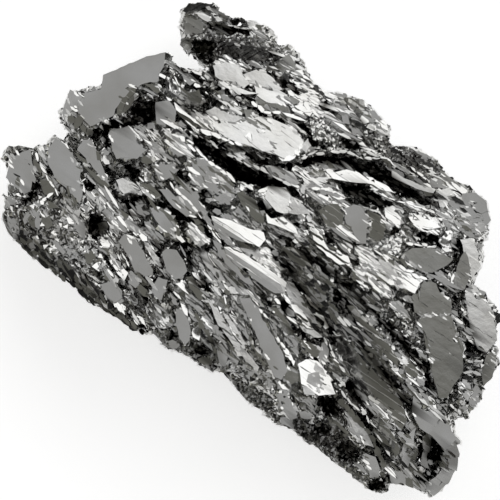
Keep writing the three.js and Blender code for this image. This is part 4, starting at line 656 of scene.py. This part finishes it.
def lower_right():
    flake(SHADED, 30, 34, 30.6, 33.7, 31.6, 34.4, 31.5, 35.3, 30.8, 35.2, 30.2, 34.6, lift=0.2)
    flake(GREY, 31.6, 34.2, 32.2, 33.8, 32.6, 34.6, 32.5, 35.8, 31.9, 35.9, 31.6, 35.2, lift=0.2)
    flake(WHITE, 29.6, 35.9, 30.4, 35.5, 31.5, 35.7, 32.1, 36.4, 32.6, 37.4, 33.2, 38.8, 31.8, 38.9,
        30.4, 38.9, 29.9, 37.8, 29.8, 36.8, lift=0.3)
    flake(LIGHT, 30.6, 36.9, 31.6, 36.7, 32.1, 37.4, 31.8, 38.1, 30.9, 38.2, 30.4, 37.6, lift=0.35)
    flake(PALE, 31.3, 35.8, 32, 36.4, 32.3, 37.1, 31.7, 36.9, 31.1, 36.4, lift=0.35)
    flake(PALE, 30.1, 38, 30.8, 38.2, 31.5, 38.5, 31.1, 38.9, 30.2, 38.8, lift=0.35)
    flake(WHITE, 27.4, 37.5, 28.7, 37.9, 30, 38.5, 30.9, 39.2, 29.6, 39.2, 28.3, 38.6, lift=0.2)
    flake(DUSK, 28.2, 36.5, 28.9, 36.2, 29.7, 36.7, 29.8, 37.6, 29, 38, 28.3, 37.6)
    flake(GREY, 27.5, 38.9, 28.2, 38.8, 29.4, 39.8, 29.5, 41.2, 28.9, 41.4, 28, 40.4, lift=0.2)
    flake(GREY, 28, 41.6, 29.3, 41.4, 29.4, 42.8, 28.6, 42.4, 28, 42.1)
    hollow(29.2, 39.3, 0.5, 0.3, 0.6, 30)
    hollow(32.6, 40.2, 1.4, 0.95, 1.3, 35)
    hollow(35.2, 38.8, 1.4, 0.6, 1.2, 55)
    hollow(32, 42.6, 1.1, 0.7, 0.8, 30)
    hollow(34.6, 45, 1.3, 1.1, 1, 40)
    flake(GREY, 29.8, 40.8, 30.6, 40.6, 31.1, 41, 30.8, 41.5, 30, 41.4)
    flake(WHITE, 34.7, 43.6, 35.2, 43.6, 35.5, 44.4, 34.9, 44.6, lift=0.4)
    seam(WHITE, 0.22, 33.8, 38.5, 34.8, 39.8, 36.3, 41, 37.4, 42.8, 38.6, 44.9)
    seam(SHADED, 0.5, 33.2, 38.8, 35, 41, 37, 43.6, 38.2, 46.4)
    flake(PALE, 34, 40.4, 35.2, 41.2, 36.4, 42.8, 37, 44.1, 36.2, 43.8, 35.2, 42.6)
    flake(SHADED, 36.8, 41.3, 37.4, 41, 38.6, 42.4, 39.6, 44.4, 39.2, 45.3, 38.4, 44, 37.4, 42.6)
    flake(LIGHT, 36.3, 44.9, 37.3, 45.3, 37.7, 46.4, 37.6, 47.2, 36.7, 47.3, 36.5, 46, lift=0.2)
    flake(WHITE, 34.9, 46.7, 35.6, 46.5, 36.1, 47.2, 36, 47.8, 35.2, 47.7)
    hollow(37.7, 48.4, 1, 0.7, 0.8)
    flake(GREY, 38.8, 47.2, 39.6, 46.5, 40.2, 46.7, 40.2, 47.8, 39.6, 48.2, 39, 48.1)
    flake(DUSK, 40.3, 47.2, 40.9, 46.9, 41.2, 48.6, 40.4, 48.3)
    flake(LIGHT, 40.6, 42.9, 41.2, 42.4, 41, 43.6, 40.8, 45.2, 40.5, 46.3, 39.9, 45.6, 40, 44.2, lift=0.2)


def hook():
    """The smooth band that bends round a hollow, and the rib in the hollow."""
    flake(GREY, 40.9, 39.1, 42.1, 40.4, 43.4, 41.2, 42.4, 42.9, 41.5, 42.3, 40.7, 40.6, lift=0.25)
    flake(GREY, 43.4, 41.2, 44.4, 42.3, 45.2, 43.4, 44.1, 44.6, 43.1, 43.5, 42.4, 42.9, lift=0.25)
    flake(LIGHT, 45.2, 43.4, 45.7, 45.1, 45.5, 46.9, 44.7, 46.6, 44.6, 45.7, 44.1, 44.6, lift=0.25)
    flake(LIGHT, 45.5, 46.9, 44.8, 48.2, 43.3, 49.5, 42.2, 48.8, 42.3, 48.2, 43.5, 47.6, 43.9, 46.9,
        44.7, 46.6, lift=0.25)
    hollow(43.1, 45, 2, 0.95, 1.6, 68)
    hollow(42.2, 47.7, 0.8, 0.8, 1.2)
    flake(LIGHT, 42.1, 43.3, 42.8, 43.1, 43, 44.2, 42.6, 45.6, 42.8, 46.8, 42, 46.6, 42.2, 45.2, lift=0.4)


for tell in (upper_left_block, left_lobe, middle_left, knob, upper_middle, upper_right, right_end, centre,
             dark_channel, lower_left, lower_right, hook):
    tell()


# ---------------------------------------------------------------- the body

SMOOTH_AREA = 1.0  # square mm: a coplanar patch this large is a smooth face
SAME_PLANE = math.cos(math.radians(1.5))
SMOOTH_DEPTH = 0.75  # a smooth face lies no further under the dome
SMOOTH_TILT = 0.8  # and its normal rises at least this much
VOXEL = 0.2  # between the corners of the fine mesh
BODY_TRIANGLES = 185000
STEEP = 0.35  # normals that rise less belong to walls
HACKLE = 0.3  # how far broken metal stands in or out on a wall
STEP = 0.07  # from one small face to the next
MOST_RISE = 0.32  # of a small face's corner
MARGIN = 0.02  # inside the CAD box


def cad_surface(cad_object):
    """The CAD skin in mm, as a tree to search, and which of its triangles are smooth."""
    bm = bmesh.new()
    bm.from_mesh(cad_object.data)
    bmesh.ops.scale(bm, vec=(1 / MM, 1 / MM, 1 / MM), verts=bm.verts)
    bmesh.ops.remove_doubles(bm, verts=bm.verts, dist=1e-3)
    bm.normal_update()
    bm.faces.ensure_lookup_table()
    smooth = [False] * len(bm.faces)
    bright = plan_direction(34, 90)
    seen = set()
    for first in bm.faces:
        if first.index in seen:
            continue
        patch, queue = [], [first]
        seen.add(first.index)
        while queue:
            face = queue.pop()
            patch.append(face)
            for edge in face.edges:
                for other in edge.link_faces:
                    if other.index not in seen and other.normal.dot(first.normal) > SAME_PLANE:
                        seen.add(other.index)
                        queue.append(other)
        area = sum(face.calc_area() for face in patch)
        if area < SMOOTH_AREA or first.normal.z < SMOOTH_TILT or first.normal.dot(bright) > 0.1:
            continue
        middle = sum((face.calc_center_median() * face.calc_area() for face in patch), Vector())
        middle /= area
        spot = to_plan(np.array([middle.x]), np.array([middle.y]))
        dull = TEXTURE_NAMES[texture_indices(*spot)[0]] in ROUGH_ONLY
        if middle.z > dome_height(middle.x, middle.y) - SMOOTH_DEPTH and not dull:
            for face in patch:
                smooth[face.index] = True
    tree = BVHTree.FromBMesh(bm)
    mesh = bpy.data.meshes.new("skin")
    bm.to_mesh(mesh)
    bm.free()
    return tree, smooth, mesh


def modified(mesh, kind, **settings):
    """A copy of a mesh after one modifier; the mesh itself goes."""
    bearer = bpy.data.objects.new("bearer", mesh)
    bpy.context.scene.collection.objects.link(bearer)
    modifier = bearer.modifiers.new(kind, kind)
    for name, value in settings.items():
        setattr(modifier, name, value)
    evaluated = bearer.evaluated_get(bpy.context.evaluated_depsgraph_get())
    made = bpy.data.meshes.new_from_object(evaluated)
    bpy.data.objects.remove(bearer)
    bpy.data.meshes.remove(mesh)
    return made


def cell_of(x, y, z, width, stretch):
    """The middle of the small face at a place, and three numbers that belong to it."""
    r, c = to_fan(x, y)
    drawn = Vector((r / (width * stretch), c / width, z / (width * 3)))
    centre = noise.voronoi(drawn)[1][0]
    cx, cy = from_fan(centre.x * width * stretch, centre.y * width)
    return cx, cy, noise.cell_vector(centre * 51.7)


def small_face_rise(place, normal, texture):
    """How far a rough upper surface rises at a place, to the small flat face there."""
    shares, width, stretch, _ = texture
    x, y, own = cell_of(*place, width, stretch)
    fall = pick_lean(shares, own.x % 1.0)
    dx, dy = place[0] - x, place[1] - y
    rise = (normal[0] / normal[2] - fall.x) * dx + (normal[1] / normal[2] - fall.y) * dy
    rise += STEP * ((own.y % 1.0) * 2 - 1)
    return max(-MOST_RISE, min(MOST_RISE, rise))


TILT_SHIFTS = [Vector((3, 1, 5)), Vector((17, 9, 2)), Vector((6, 23, 11))]


def wall_hackle(place):
    """How far a wall stands out at a place: tilted steps with a frayed surface."""
    drawn = Vector((place[0] / 1.7, place[1] / 1.7, place[2] / 0.7))
    centre = noise.voronoi(drawn)[1][0]
    tilt = Vector([noise.noise(centre * 7.3 + shift) for shift in TILT_SHIFTS])
    fray = noise.noise(Vector(place) * 2.2)
    return HACKLE * ((drawn - centre).dot(tilt) * 1.6 + 0.8 * noise.noise(centre * 5.1) + 1.1 * fray)


def ellipse_depth(px, py, x, y, long, wide, slope):
    """1 inside a plan ellipse, falling to 0 at its edge."""
    c, s = math.cos(math.radians(slope)), math.sin(math.radians(slope))
    dx, dy = px - x, py - y
    distance = np.hypot((dx * c + dy * s) / long, (dy * c - dx * s) / wide)
    return 1 - smooth_step(0.6, 1.0, distance)


def line_depth(px, py, points, width):
    """1 along a plan line, falling to 0 at half its width, and narrower to its ends."""
    best = np.zeros_like(px)
    lengths = [math.dist(a, b) for a, b in zip(points, points[1:])]
    total, run = sum(lengths), 0.0
    for (ax, ay), (bx, by), length in zip(points, points[1:], lengths):
        ux, uy = (bx - ax) / length, (by - ay) / length
        t = np.clip((px - ax) * ux + (py - ay) * uy, 0, length)
        distance = np.hypot(px - ax - ux * t, py - ay - uy * t)
        share = (run + t) / total
        half = 0.5 * width * (0.35 + 0.65 * np.sin(np.pi * np.clip(share, 0.02, 0.98)) ** 0.6)
        best = np.maximum(best, 1 - smooth_step(0.55, 1.0, distance / half))
        run += length
    return best


def opened(px, py):
    """How far hollows and crevices sink each plan place and how much painted shade they get."""
    wander = 0.12 * np.sin(3.1 * px + 1.7 * py) + 0.08 * np.sin(7.3 * px - 5.9 * py)
    wx, wy = px + wander, py - wander
    sink, dark = np.zeros_like(px), np.zeros_like(px)
    for x, y, long, wide, slope, depth in HOLLOWS:
        share = ellipse_depth(wx, wy, x, y, long, wide, slope)
        sink = np.maximum(sink, share * depth)
        dark = np.maximum(dark, share)
    for width, depth, points in CREVICES:
        share = line_depth(wx, wy, points, width)
        sink = np.maximum(sink, share * depth)
        dark = np.maximum(dark, share)
    return sink, dark


# Where broken metal fills the clefts: plan x, y, half length, half width, slope.
FILLS = [
    (15.8, 26.2, 7.6, 4.2, 52),
    (16.2, 31.2, 2.6, 1.8, 50),
    (30.2, 30.2, 3.4, 1.8, 55),
    (12.6, 16.0, 3.0, 2.4, 40),
    (26.6, 20.4, 3.4, 1.8, 30),
    (27.0, 36.0, 4.6, 2.4, 50),
]
FILL_DEPTH = 1.9  # mm under the dome


def filled_level(x, y, px, py):
    """The height up to which the clefts are filled at each place."""
    share = np.zeros_like(px)
    for spot in FILLS:
        share = np.maximum(share, ellipse_depth(px, py, *spot))
    wander = 0.35 * np.sin(2.1 * px + 0.8 * py) * np.sin(1.7 * py - 1.1 * px)
    return dome_height(x, y) - FILL_DEPTH + wander - (1 - share) * 12


def roughened_body(cad_object):
    """The lump's fine skin in mm."""
    tree, smooth, skin = cad_surface(cad_object)
    mesh = modified(skin, "REMESH", mode="VOXEL", voxel_size=VOXEL)
    places, normals, level = [], [], []
    for vertex in mesh.vertices:
        place, normal, index, _ = tree.find_nearest(vertex.co)
        places.append(place)
        normals.append(normal)
        level.append(smooth[index])
    places, normals = np.array(places), np.array(normals)
    px, py = to_plan(places[:, 0], places[:, 1])
    fill = filled_level(places[:, 0], places[:, 1], px, py)
    filled = (places[:, 2] < fill) & (places[:, 2] > RIM_HEIGHT - 1)
    places[filled, 2] = fill[filled]
    normals[filled] = (0, 0, 1)
    sink, _ = opened(px, py)
    upper = (normals[:, 2] > 0.1) & (places[:, 2] > RIM_HEIGHT - 1)
    places[:, 2] -= np.where(upper, sink, 0)
    kinds = texture_indices(px, py)
    resting = places[:, 2] < 0.05
    for k, (place, normal) in enumerate(zip(places.tolist(), normals.tolist())):
        if resting[k] or (level[k] and sink[k] < 0.05 and not filled[k]):
            continue
        if normal[2] > STEEP:
            places[k, 2] += small_face_rise(place, normal, TEXTURE_LIST[kinds[k]])
        else:
            places[k] += normals[k] * wall_hackle(place)
    inside = np.clip(places, LOWEST + MARGIN, HIGHEST - MARGIN)
    places = np.where(resting[:, None], np.maximum(places, LOWEST), inside)
    mesh.vertices.foreach_set("co", places.ravel())
    mesh.update()
    quads = len(mesh.polygons)
    mesh = modified(mesh, "DECIMATE", ratio=BODY_TRIANGLES / (2 * quads))
    places = np.empty(len(mesh.vertices) * 3)
    mesh.vertices.foreach_get("co", places)
    places = np.clip(places.reshape(-1, 3), LOWEST, HIGHEST - 0.001)
    mesh.vertices.foreach_set("co", places.ravel())
    mesh.shade_flat()
    return mesh


# Painted shade: how much of the metal's colour a place keeps, 1 out in the open and less in the hollows,
# clefts, dark zones and on the low sides.
SHADE_START_DEPTH = 2.1  # mm under the dome where it starts to darken
SHADE_FULL_DEPTH = 3.9


def painted_shade(places):
    """The painted shade of each place in mm: the share of the metal's colour that it keeps."""
    x, y, z = places.T
    # Painted shade: darker deeper under the dome, in hollows and clefts, and in zones whose texture keeps
    # less colour; the low sides below the rim get a flat painted shade instead.
    inner = smooth_step(SHADE_START_DEPTH, SHADE_FULL_DEPTH, dome_height(x, y) - z)
    outer = 1 - smooth_step(1.2, -0.6, RIM_HEIGHT - z)
    px, py = to_plan(x, y)
    own = np.array([texture[3] for texture in TEXTURE_LIST])[texture_indices(px, py)]
    dark = np.maximum(inner * (1.15 - own), opened(px, py)[1] * 0.9) * (1 - outer)
    own = 1 - (1 - own) * (1 - outer)
    return (1 - dark) * own * (1 - 0.35 * outer)


def shade_mesh(mesh):
    """Stores the painted shade of each corner on a mesh that is in millimetres."""
    places = np.empty(len(mesh.vertices) * 3)
    mesh.vertices.foreach_get("co", places)
    shade = mesh.attributes.new("painted_shade", "FLOAT", "POINT")
    shade.data.foreach_set("value", painted_shade(places.reshape(-1, 3)))


# ------------------------------------------------------- the small crystals

OVERHANG = 1.5  # the highest that a crystal's corner stands over its ground


class Crystals:
    """Gathers many small closed crystals for one mesh."""

    def __init__(self, surface):
        self.surface = surface
        self.corners, self.faces = [], []

    def height(self, x, y):
        """The body's height at a frame place, or None outside it."""
        hit = self.surface.ray_cast(Vector((x, y, HIGHEST[2] + 5)), Vector((0, 0, -1)))[0]
        return None if hit is None else hit.z

    def grounded(self, x, y, z):
        """Whether the body lies under a small crystal and all round it."""
        round_it = ((0, 0), (0.4, 0), (-0.4, 0), (0, 0.4), (0, -0.4))
        grounds = [self.height(x + dx, y + dy) for dx, dy in round_it]
        return all(ground is not None and ground >= z - OVERHANG for ground in grounds)

    def add_flake(self, outline, fall, lift, depth=0.9, spread=0.12, rank=0.7, snug=0.0):
        """A crystal with one flat top over a frame outline, which falls as told.

        Its top lies so high that rank of the ground under its corners is below it.
        It is left out where the ground is missing or further out of flat than snug.
        """
        grounds = [self.height(x, y) for x, y in outline]
        found = [z for z in grounds if z is not None]
        if len(found) < (1.0 if snug else 0.6) * len(outline):
            return
        if signed_area(outline) < 0:
            outline = outline[::-1]
            grounds = grounds[::-1]
        mx = sum(x for x, _ in outline) / len(outline)
        my = sum(y for _, y in outline) / len(outline)
        inner = [] if snug else [((x + mx) / 2, (y + my) / 2) for x, y in outline]
        under = grounds + [self.height(x, y) for x, y in inner]
        levels = sorted(
            z + fall.x * (x - mx) + fall.y * (y - my)
            for (x, y), z in zip(outline + inner, under) if z is not None
        )
        if snug and levels[-1] - levels[0] > snug:
            return
        level = levels[int(rank * (len(levels) - 1))] + lift
        self.add_prism(outline, fall, (mx, my, level), grounds, depth, spread)
        return mx, my, level

    def add_prism(self, outline, fall, middle, grounds, depth, spread=0.12):
        """A closed crystal whose top falls from its middle and whose foot is sunk by depth."""
        mx, my, level = middle
        top, foot = [], []
        for (x, y), ground in zip(outline, grounds):
            z = level - fall.x * (x - mx) - fall.y * (y - my)
            top.append((x, y, z))
            drop = math.inf if ground is None else max(0.0, z - ground)
            if drop > OVERHANG:  # a ledge that stands out narrows downwards
                foot.append((x + (mx - x) * 0.45, y + (my - y) * 0.45, z - max(depth, 1.3)))
            else:
                flare = spread + 0.3 * drop / max(0.1, math.hypot(x - mx, y - my))
                foot.append((x + (x - mx) * flare, y + (y - my) * flare, z - drop - depth))
        count = len(top)
        triangles = fill_outline(outline)
        faces = triangles + [(a + count, c + count, b + count) for a, b, c in triangles]
        for k in range(count):
            n = (k + 1) % count
            faces += [(k, k + count, n), (n, k + count, n + count)]
        start = len(self.corners)
        self.corners += top + foot
        self.faces += [tuple(k + start for k in face) for face in faces]

    def mesh(self, name):
        corners = np.clip(np.array(self.corners), LOWEST + MARGIN, HIGHEST - MARGIN)
        mesh = bpy.data.meshes.new(name)
        mesh.from_pydata(corners.tolist(), [], self.faces)
        return mesh


def signed_area(outline):
    edges = zip(outline, outline[1:] + outline[:1])
    return sum(x0 * y1 - x1 * y0 for (x0, y0), (x1, y1) in edges) / 2


def fill_outline(outline):
    """Triangles, counterclockwise from above, that fill an outline."""
    filled = []
    for a, b, c in tessellate_polygon([[Vector((x, y, 0)) for x, y in outline]]):
        area = signed_area([outline[a], outline[b], outline[c]])
        if abs(area) > 1e-9:
            filled.append((a, b, c) if area > 0 else (a, c, b))
    return filled


SHARD = [(-1, 0.1), (-0.5, -0.8), (0.4, -0.9), (1, -0.1), (0.5, 0.8), (-0.4, 0.9)]
PLATE = [(1, 0), (0.31, 0.95), (-0.81, 0.59), (-0.81, -0.59), (0.31, -0.95)]
GRAIN = [(1, 0), (-0.4, 0.9), (-0.5, -0.8)]


def shaped(template, x, y, along, long, wide, jitter):
    """A template's outline at a frame place, with its length on along."""
    outline = []
    for a, b in template:
        a = (a + RNG.uniform(-jitter, jitter)) * long
        b = (b + RNG.uniform(-jitter, jitter)) * wide
        outline.append((x + along.x * a - along.y * b, y + along.y * a + along.x * b))
    return outline


def turned(direction, angle):
    c, s = math.cos(angle), math.sin(angle)
    return Vector((direction.x * c - direction.y * s, direction.x * s + direction.y * c))


def clipped(outline, u, level):
    """The part of an outline where its dot product with u is over the level."""
    made = []
    for a, b in zip(outline, outline[1:] + outline[:1]):
        da, db = a[0] * u.x + a[1] * u.y - level, b[0] * u.x + b[1] * u.y - level
        if da >= 0:
            made.append(a)
        if (da >= 0) != (db >= 0):
            t = da / (da - db)
            made.append((a[0] + (b[0] - a[0]) * t, a[1] + (b[1] - a[1]) * t))
    return made


STRIP_FALL = 0.24  # the most that one strip of a flat face falls from side to side
LEAST_STRIP = 0.03  # square mm


def strips(outline, fall):
    """Cuts an outline along the blades, so that no part falls too far.

    Gives each part with the reaches along the fall where it was cut.
    """
    u = fall.normalized()
    reach = [x * u.x + y * u.y for x, y in outline]
    low, high = min(reach), max(reach)
    parts = max(1, round((high - low) * fall.length / STRIP_FALL))
    made = []
    cuts = [low + (high - low) * k / parts for k in range(parts + 1)]
    for start, end in zip(cuts, cuts[1:]):
        part = clipped(clipped(outline, u, start), -u, -end)
        if len(part) > 2 and abs(signed_area(part)) > LEAST_STRIP:
            made.append((part, [cut for cut in (start, end) if low < cut < high]))
    return made


def rough_edge(outline, reach=0.5, wander=0.07):
    """An outline with more corners, which wander a little."""
    made = []
    for (ax, ay), (bx, by) in zip(outline, outline[1:] + outline[:1]):
        parts = max(1, round(math.dist((ax, ay), (bx, by)) / reach))
        for k in range(parts):
            t = k / parts
            shift = wander if k else 0.3 * wander
            x = ax + (bx - ax) * t + RNG.uniform(-shift, shift)
            y = ay + (by - ay) * t + RNG.uniform(-shift, shift)
            made.append((x, y))
    return made


CRUMBS = 2  # tries at each corner of a flake's edge


def grow_flakes(crystals):
    """The larger flat faces that are told one by one."""
    for number, (fall, lift, outline) in enumerate(FLAKES):
        RNG.seed(number)
        for strip, cuts in strips([to_frame(x, y) for x, y in outline], fall):
            edge = rough_edge(strip)
            made = crystals.add_flake(edge, fall, lift, 1.0, 0.05, 0.85)
            if made and lift != BARE:
                u = fall.normalized()
                edge = [(x, y) for x, y in edge
                        if all(abs(x * u.x + y * u.y - cut) > 0.1 for cut in cuts)]
                grow_crumbs(crystals, edge, fall, made)


def grow_crumbs(crystals, edge, fall, middle):
    """Small crystals along the edge of a flake, in the texture of the place."""
    if not edge:
        return
    mx, my, level = middle
    x, y = np.array(edge).T
    kinds = texture_indices(*to_plan(x, y))
    for (x, y), kind in zip(edge, kinds):
        for _ in range(CRUMBS):
            x += RNG.gauss(0, 0.12)
            y += RNG.gauss(0, 0.12)
            clean = noise.noise(Vector((x / 1.4, y / 1.4, 3.7))) * 1.5 + 0.45
            z = level - fall.x * (x - mx) - fall.y * (y - my) + RNG.uniform(0.0, 0.05)
            if RNG.random() < clean or not crystals.grounded(x, y, z):
                continue
            own = pick_lean(TEXTURE_LIST[kind][0], RNG.random())
            along = turned(fan_direction(x, y), RNG.gauss(0, 0.25))
            outline = shaped(SHARD, x, y, along, RNG.uniform(0.15, 0.5), RNG.uniform(0.07, 0.16), 0.2)
            crystals.add_prism(outline, own, (x, y, z), [None] * len(outline), 0.4)


SEAM_PART = 0.8  # the length of one shard of a seam


def grow_seams(crystals):
    """Thin bright or dark seams: shards that follow one another along a plan line."""
    for number, (fall, width, points) in enumerate(SEAMS):
        RNG.seed(number)
        for (ax, ay), (bx, by) in zip(points, points[1:]):
            start, end = Vector(to_frame(ax, ay)), Vector(to_frame(bx, by))
            parts = max(1, round((end - start).length / SEAM_PART))
            along = (end - start).normalized()
            half = (end - start).length / parts * 0.62
            for k in range(parts):
                if RNG.random() < 0.12:
                    continue
                place = start.lerp(end, (k + 0.5) / parts)
                side = Vector((-along.y, along.x)) * RNG.gauss(0, 0.07)
                wide = width * RNG.uniform(0.3, 0.75)
                turn = turned(along, RNG.gauss(0, 0.12))
                outline = shaped(SHARD, *(place + side), turn, half, wide, 0.2)
                crystals.add_flake(outline, fall, 0.1, 0.5, rank=1.0)


SAMPLE_AREA = 0.042  # square mm for each small crystal that is tried


def grow_small(crystals, tree, smooth, told):
    """Small crystals on the rough upper side, which lean as the texture there asks.

    Few of them stand where the flakes of told are.
    """
    picker = np.random.default_rng(74)
    count = int((HIGHEST[0] - LOWEST[0]) * (HIGHEST[1] - LOWEST[1]) / SAMPLE_AREA)
    x = picker.uniform(LOWEST[0], HIGHEST[0], count)
    y = picker.uniform(LOWEST[1], HIGHEST[1], count)
    px, py = to_plan(x, y)
    kinds = texture_indices(px, py)
    fill = filled_level(x, y, px, py)
    # Where hollows and clefts carry painted shade, few small crystals are kept.
    dark = opened(px, py)[1]
    keep = picker.uniform(0, 1, len(x)) * np.where(dark > 0.4, 5.0, 1.0)
    for k in range(count):
        shares, width, stretch, _ = TEXTURE_LIST[kinds[k]]
        above = Vector((x[k], y[k], HIGHEST[2] + 5))
        place, normal, index, _ = tree.ray_cast(above, Vector((0, 0, -1)))
        if place is None or smooth[index] or (normal.z < 0.25 and place.z > fill[k]):
            continue
        if keep[k] > 0.06 and told.ray_cast(above, Vector((0, 0, -1)))[0]:
            continue
        steep = normal.z < 0.85
        if keep[k] > (0.95 if steep or width < 0.3 else 0.7):
            continue
        RNG.seed(k)
        fall = pick_lean(shares, RNG.random())
        fall = fall + Vector((RNG.gauss(0, 0.03), RNG.gauss(0, 0.03)))
        along = turned(fan_direction(x[k], y[k]), RNG.gauss(0, 0.1))
        if stretch < 2:
            size = width * RNG.uniform(0.5, 0.95)
            outline = shaped(GRAIN, x[k], y[k], turned(along, RNG.uniform(0, 6)), size, size, 0.3)
        elif RNG.random() < 0.75:
            wide = width * RNG.uniform(0.22, 0.5)
            long = wide * RNG.uniform(2.5, stretch * 1.3)
            outline = shaped(SHARD, x[k], y[k], along, long, wide, 0.12)
        else:
            wide = width * RNG.uniform(0.4, 0.9)
            outline = shaped(PLATE, x[k], y[k], along, wide * 1.5, wide, 0.2)
        lift = RNG.uniform(0.02, 0.1)
        rank, snug = (1.0, 1.8) if steep else (0.7, 0.7)
        crystals.add_flake(outline, fall, lift, 0.45, rank=rank, snug=snug)


# ----------------------------------------------------------- the materials

def new_node(tree, kind, inputs, **settings):
    """A shader node; each of its inputs is a value or the output of another node."""
    made = tree.nodes.new("ShaderNode" + kind)
    for name, value in settings.items():
        setattr(made, name, value)
    for name, value in inputs.items():
        if isinstance(value, bpy.types.NodeSocket):
            tree.links.new(value, made.inputs[name])
        else:
            made.inputs[name].default_value = value
    return made


def tungsten_material():
    """Bare metal: a little uneven in tone and polish, and darkened with painted shade in hollows, clefts,
    dark zones and on the low sides.
    """
    material = bpy.data.materials.new("tungsten")
    material.use_nodes = True
    tree = material.node_tree
    shader = tree.nodes["Principled BSDF"]
    shader.inputs["Metallic"].default_value = 1.0
    place = tree.nodes.new("ShaderNodeTexCoord").outputs["Object"]
    tone = new_node(tree, "TexNoise", {"Vector": place, "Scale": 260, "Detail": 5}).outputs["Fac"]
    colours = new_node(tree, "ValToRGB", {"Fac": tone})
    dull, bright = colours.color_ramp.elements
    dull.position, dull.color = 0.32, (0.50, 0.495, 0.475, 1)
    bright.position, bright.color = 0.66, (0.60, 0.60, 0.59, 1)

    # Painted shade: the base colour goes towards near black where the painted shade attribute is low.
    clean = new_node(tree, "Attribute", {}, attribute_name="painted_shade").outputs["Fac"]
    dark = (0.022, 0.020, 0.014, 1)
    mixed = {"A": dark, "Factor": clean, "B": colours.outputs["Color"]}
    colour = new_node(tree, "Mix", mixed, data_type="RGBA", blend_type="MIX")
    tree.links.new(colour.outputs["Result"], shader.inputs["Base Color"])

    ranges = {"Value": tone, "From Min": 0.3, "From Max": 0.7, "To Min": 0.08, "To Max": 0.18}
    polish = new_node(tree, "MapRange", ranges)
    tree.links.new(polish.outputs["Result"], shader.inputs["Roughness"])

    ripple = new_node(tree, "TexNoise", {"Vector": place, "Scale": 700, "Detail": 6}).outputs["Fac"]
    bump = new_node(tree, "Bump", {"Strength": 0.6, "Distance": 0.00004, "Height": ripple})
    tree.links.new(bump.outputs["Normal"], shader.inputs["Normal"])
    return material


# --------------------------------------------- the floor, lights and camera

def make_floor():
    bpy.ops.mesh.primitive_plane_add(size=1.6)
    floor = bpy.context.object
    floor.name = "floor"
    material = bpy.data.materials.new("floor_paper")
    material.use_nodes = True
    shader = material.node_tree.nodes["Principled BSDF"]
    shader.inputs["Base Color"].default_value = (0.93, 0.93, 0.93, 1)
    shader.inputs["Roughness"].default_value = 0.9
    shader.inputs["Emission Color"].default_value = (1, 1, 1, 1)
    shader.inputs["Emission Strength"].default_value = 0.62
    floor.data.materials.append(material)


BASE_LIGHT = 0.035
NEUTRAL = (1, 1, 1)
WARM = (1, 0.99, 0.87)
# Soft patches of light on the studio's dome: bearing, degrees off the zenith,
# inner and outer radius in degrees, how bright, and the colour.
PATCHES = [
    (0, 0, 14, 30, 0.46, NEUTRAL),
    (34, 42, 10, 28, 1.7, NEUTRAL),
    (214, 42, 10, 30, 0.17, WARM),
    (305, 50, 10, 20, 0.9, NEUTRAL),
    (125, 48, 8, 18, 0.5, NEUTRAL),
    (80, 66, 8, 16, 1.0, NEUTRAL),
    (250, 66, 8, 16, 0.6, WARM),
    (180, 70, 8, 16, 0.4, WARM),
    (355, 70, 10, 20, 1.0, NEUTRAL),
    (100, 36, 8, 20, 0.4, NEUTRAL),
    (298, 34, 8, 20, 0.4, NEUTRAL),
]


def make_lights():
    """The studio's dome: a dim base with PATCHES of light added to it."""
    world = bpy.data.worlds.new("studio")
    world.use_nodes = True
    tree = world.node_tree
    place = tree.nodes.new("ShaderNodeTexCoord").outputs["Generated"]
    base = {axis: BASE_LIGHT for axis in ("X", "Y", "Z")}
    total = new_node(tree, "CombineXYZ", base).outputs["Vector"]
    for bearing, off_zenith, inner, outer, brightness, colour in PATCHES:
        middle = {0: place, 1: plan_direction(bearing, off_zenith)}
        facing = new_node(tree, "VectorMath", middle, operation="DOT_PRODUCT").outputs["Value"]
        ranges = {"Value": facing, "To Max": brightness}
        ranges["From Min"] = math.cos(math.radians(outer))
        ranges["From Max"] = math.cos(math.radians(inner))
        patch = new_node(tree, "MapRange", ranges, interpolation_type="SMOOTHSTEP").outputs["Result"]
        tinted = {0: colour, "Scale": patch}
        tint = new_node(tree, "VectorMath", tinted, operation="SCALE").outputs["Vector"]
        total = new_node(tree, "VectorMath", {0: total, 1: tint}, operation="ADD").outputs["Vector"]
    tree.links.new(total, tree.nodes["Background"].inputs["Color"])
    bpy.context.scene.world = world


def make_camera():
    camera = bpy.data.cameras.new("camera")
    camera.lens = 150
    camera.sensor_width = 36
    holder = bpy.data.objects.new("camera", camera)
    x, y = to_frame(*VIEW_MIDDLE)
    middle_height = 8.0
    distance = VIEW_SIDE * camera.lens / camera.sensor_width + middle_height
    lift = Matrix.Translation(Vector((x, y, distance)) * MM)
    holder.matrix_world = lift @ Matrix.Rotation(BLADE_SLOPE, 4, "Z")
    bpy.context.scene.collection.objects.link(holder)
    bpy.context.scene.camera = holder


def show_piece(name, mesh, material):
    """Makes a piece of a mesh that is in millimetres."""
    shade_mesh(mesh)
    mesh.transform(Matrix.Scale(MM, 4))
    piece = bpy.data.objects.new(name, mesh)
    bpy.context.scene.collection.objects.link(piece)
    mesh.materials.append(material)
    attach(piece, "root")
    return piece


tungsten = tungsten_material()
body = roughened_body(frame["nodes"][NODE])
body_tree = BVHTree.FromPolygons(
    [vertex.co for vertex in body.vertices], [face.vertices for face in body.polygons]
)
cad_tree, cad_smooth, cad_skin = cad_surface(frame["nodes"][NODE])
faces = Crystals(body_tree)
grow_flakes(faces)
grow_seams(faces)
small = Crystals(body_tree)
grow_small(small, cad_tree, cad_smooth, BVHTree.FromPolygons(faces.corners, faces.faces))
lump = show_piece("lump", body, tungsten)
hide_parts(NODE)
show_piece("small_crystals", small.mesh("small_crystals"), tungsten)
show_piece("faces", faces.mesh("faces"), tungsten)

make_floor()
make_lights()
make_camera()
bpy.context.scene.view_settings.view_transform = "Standard"
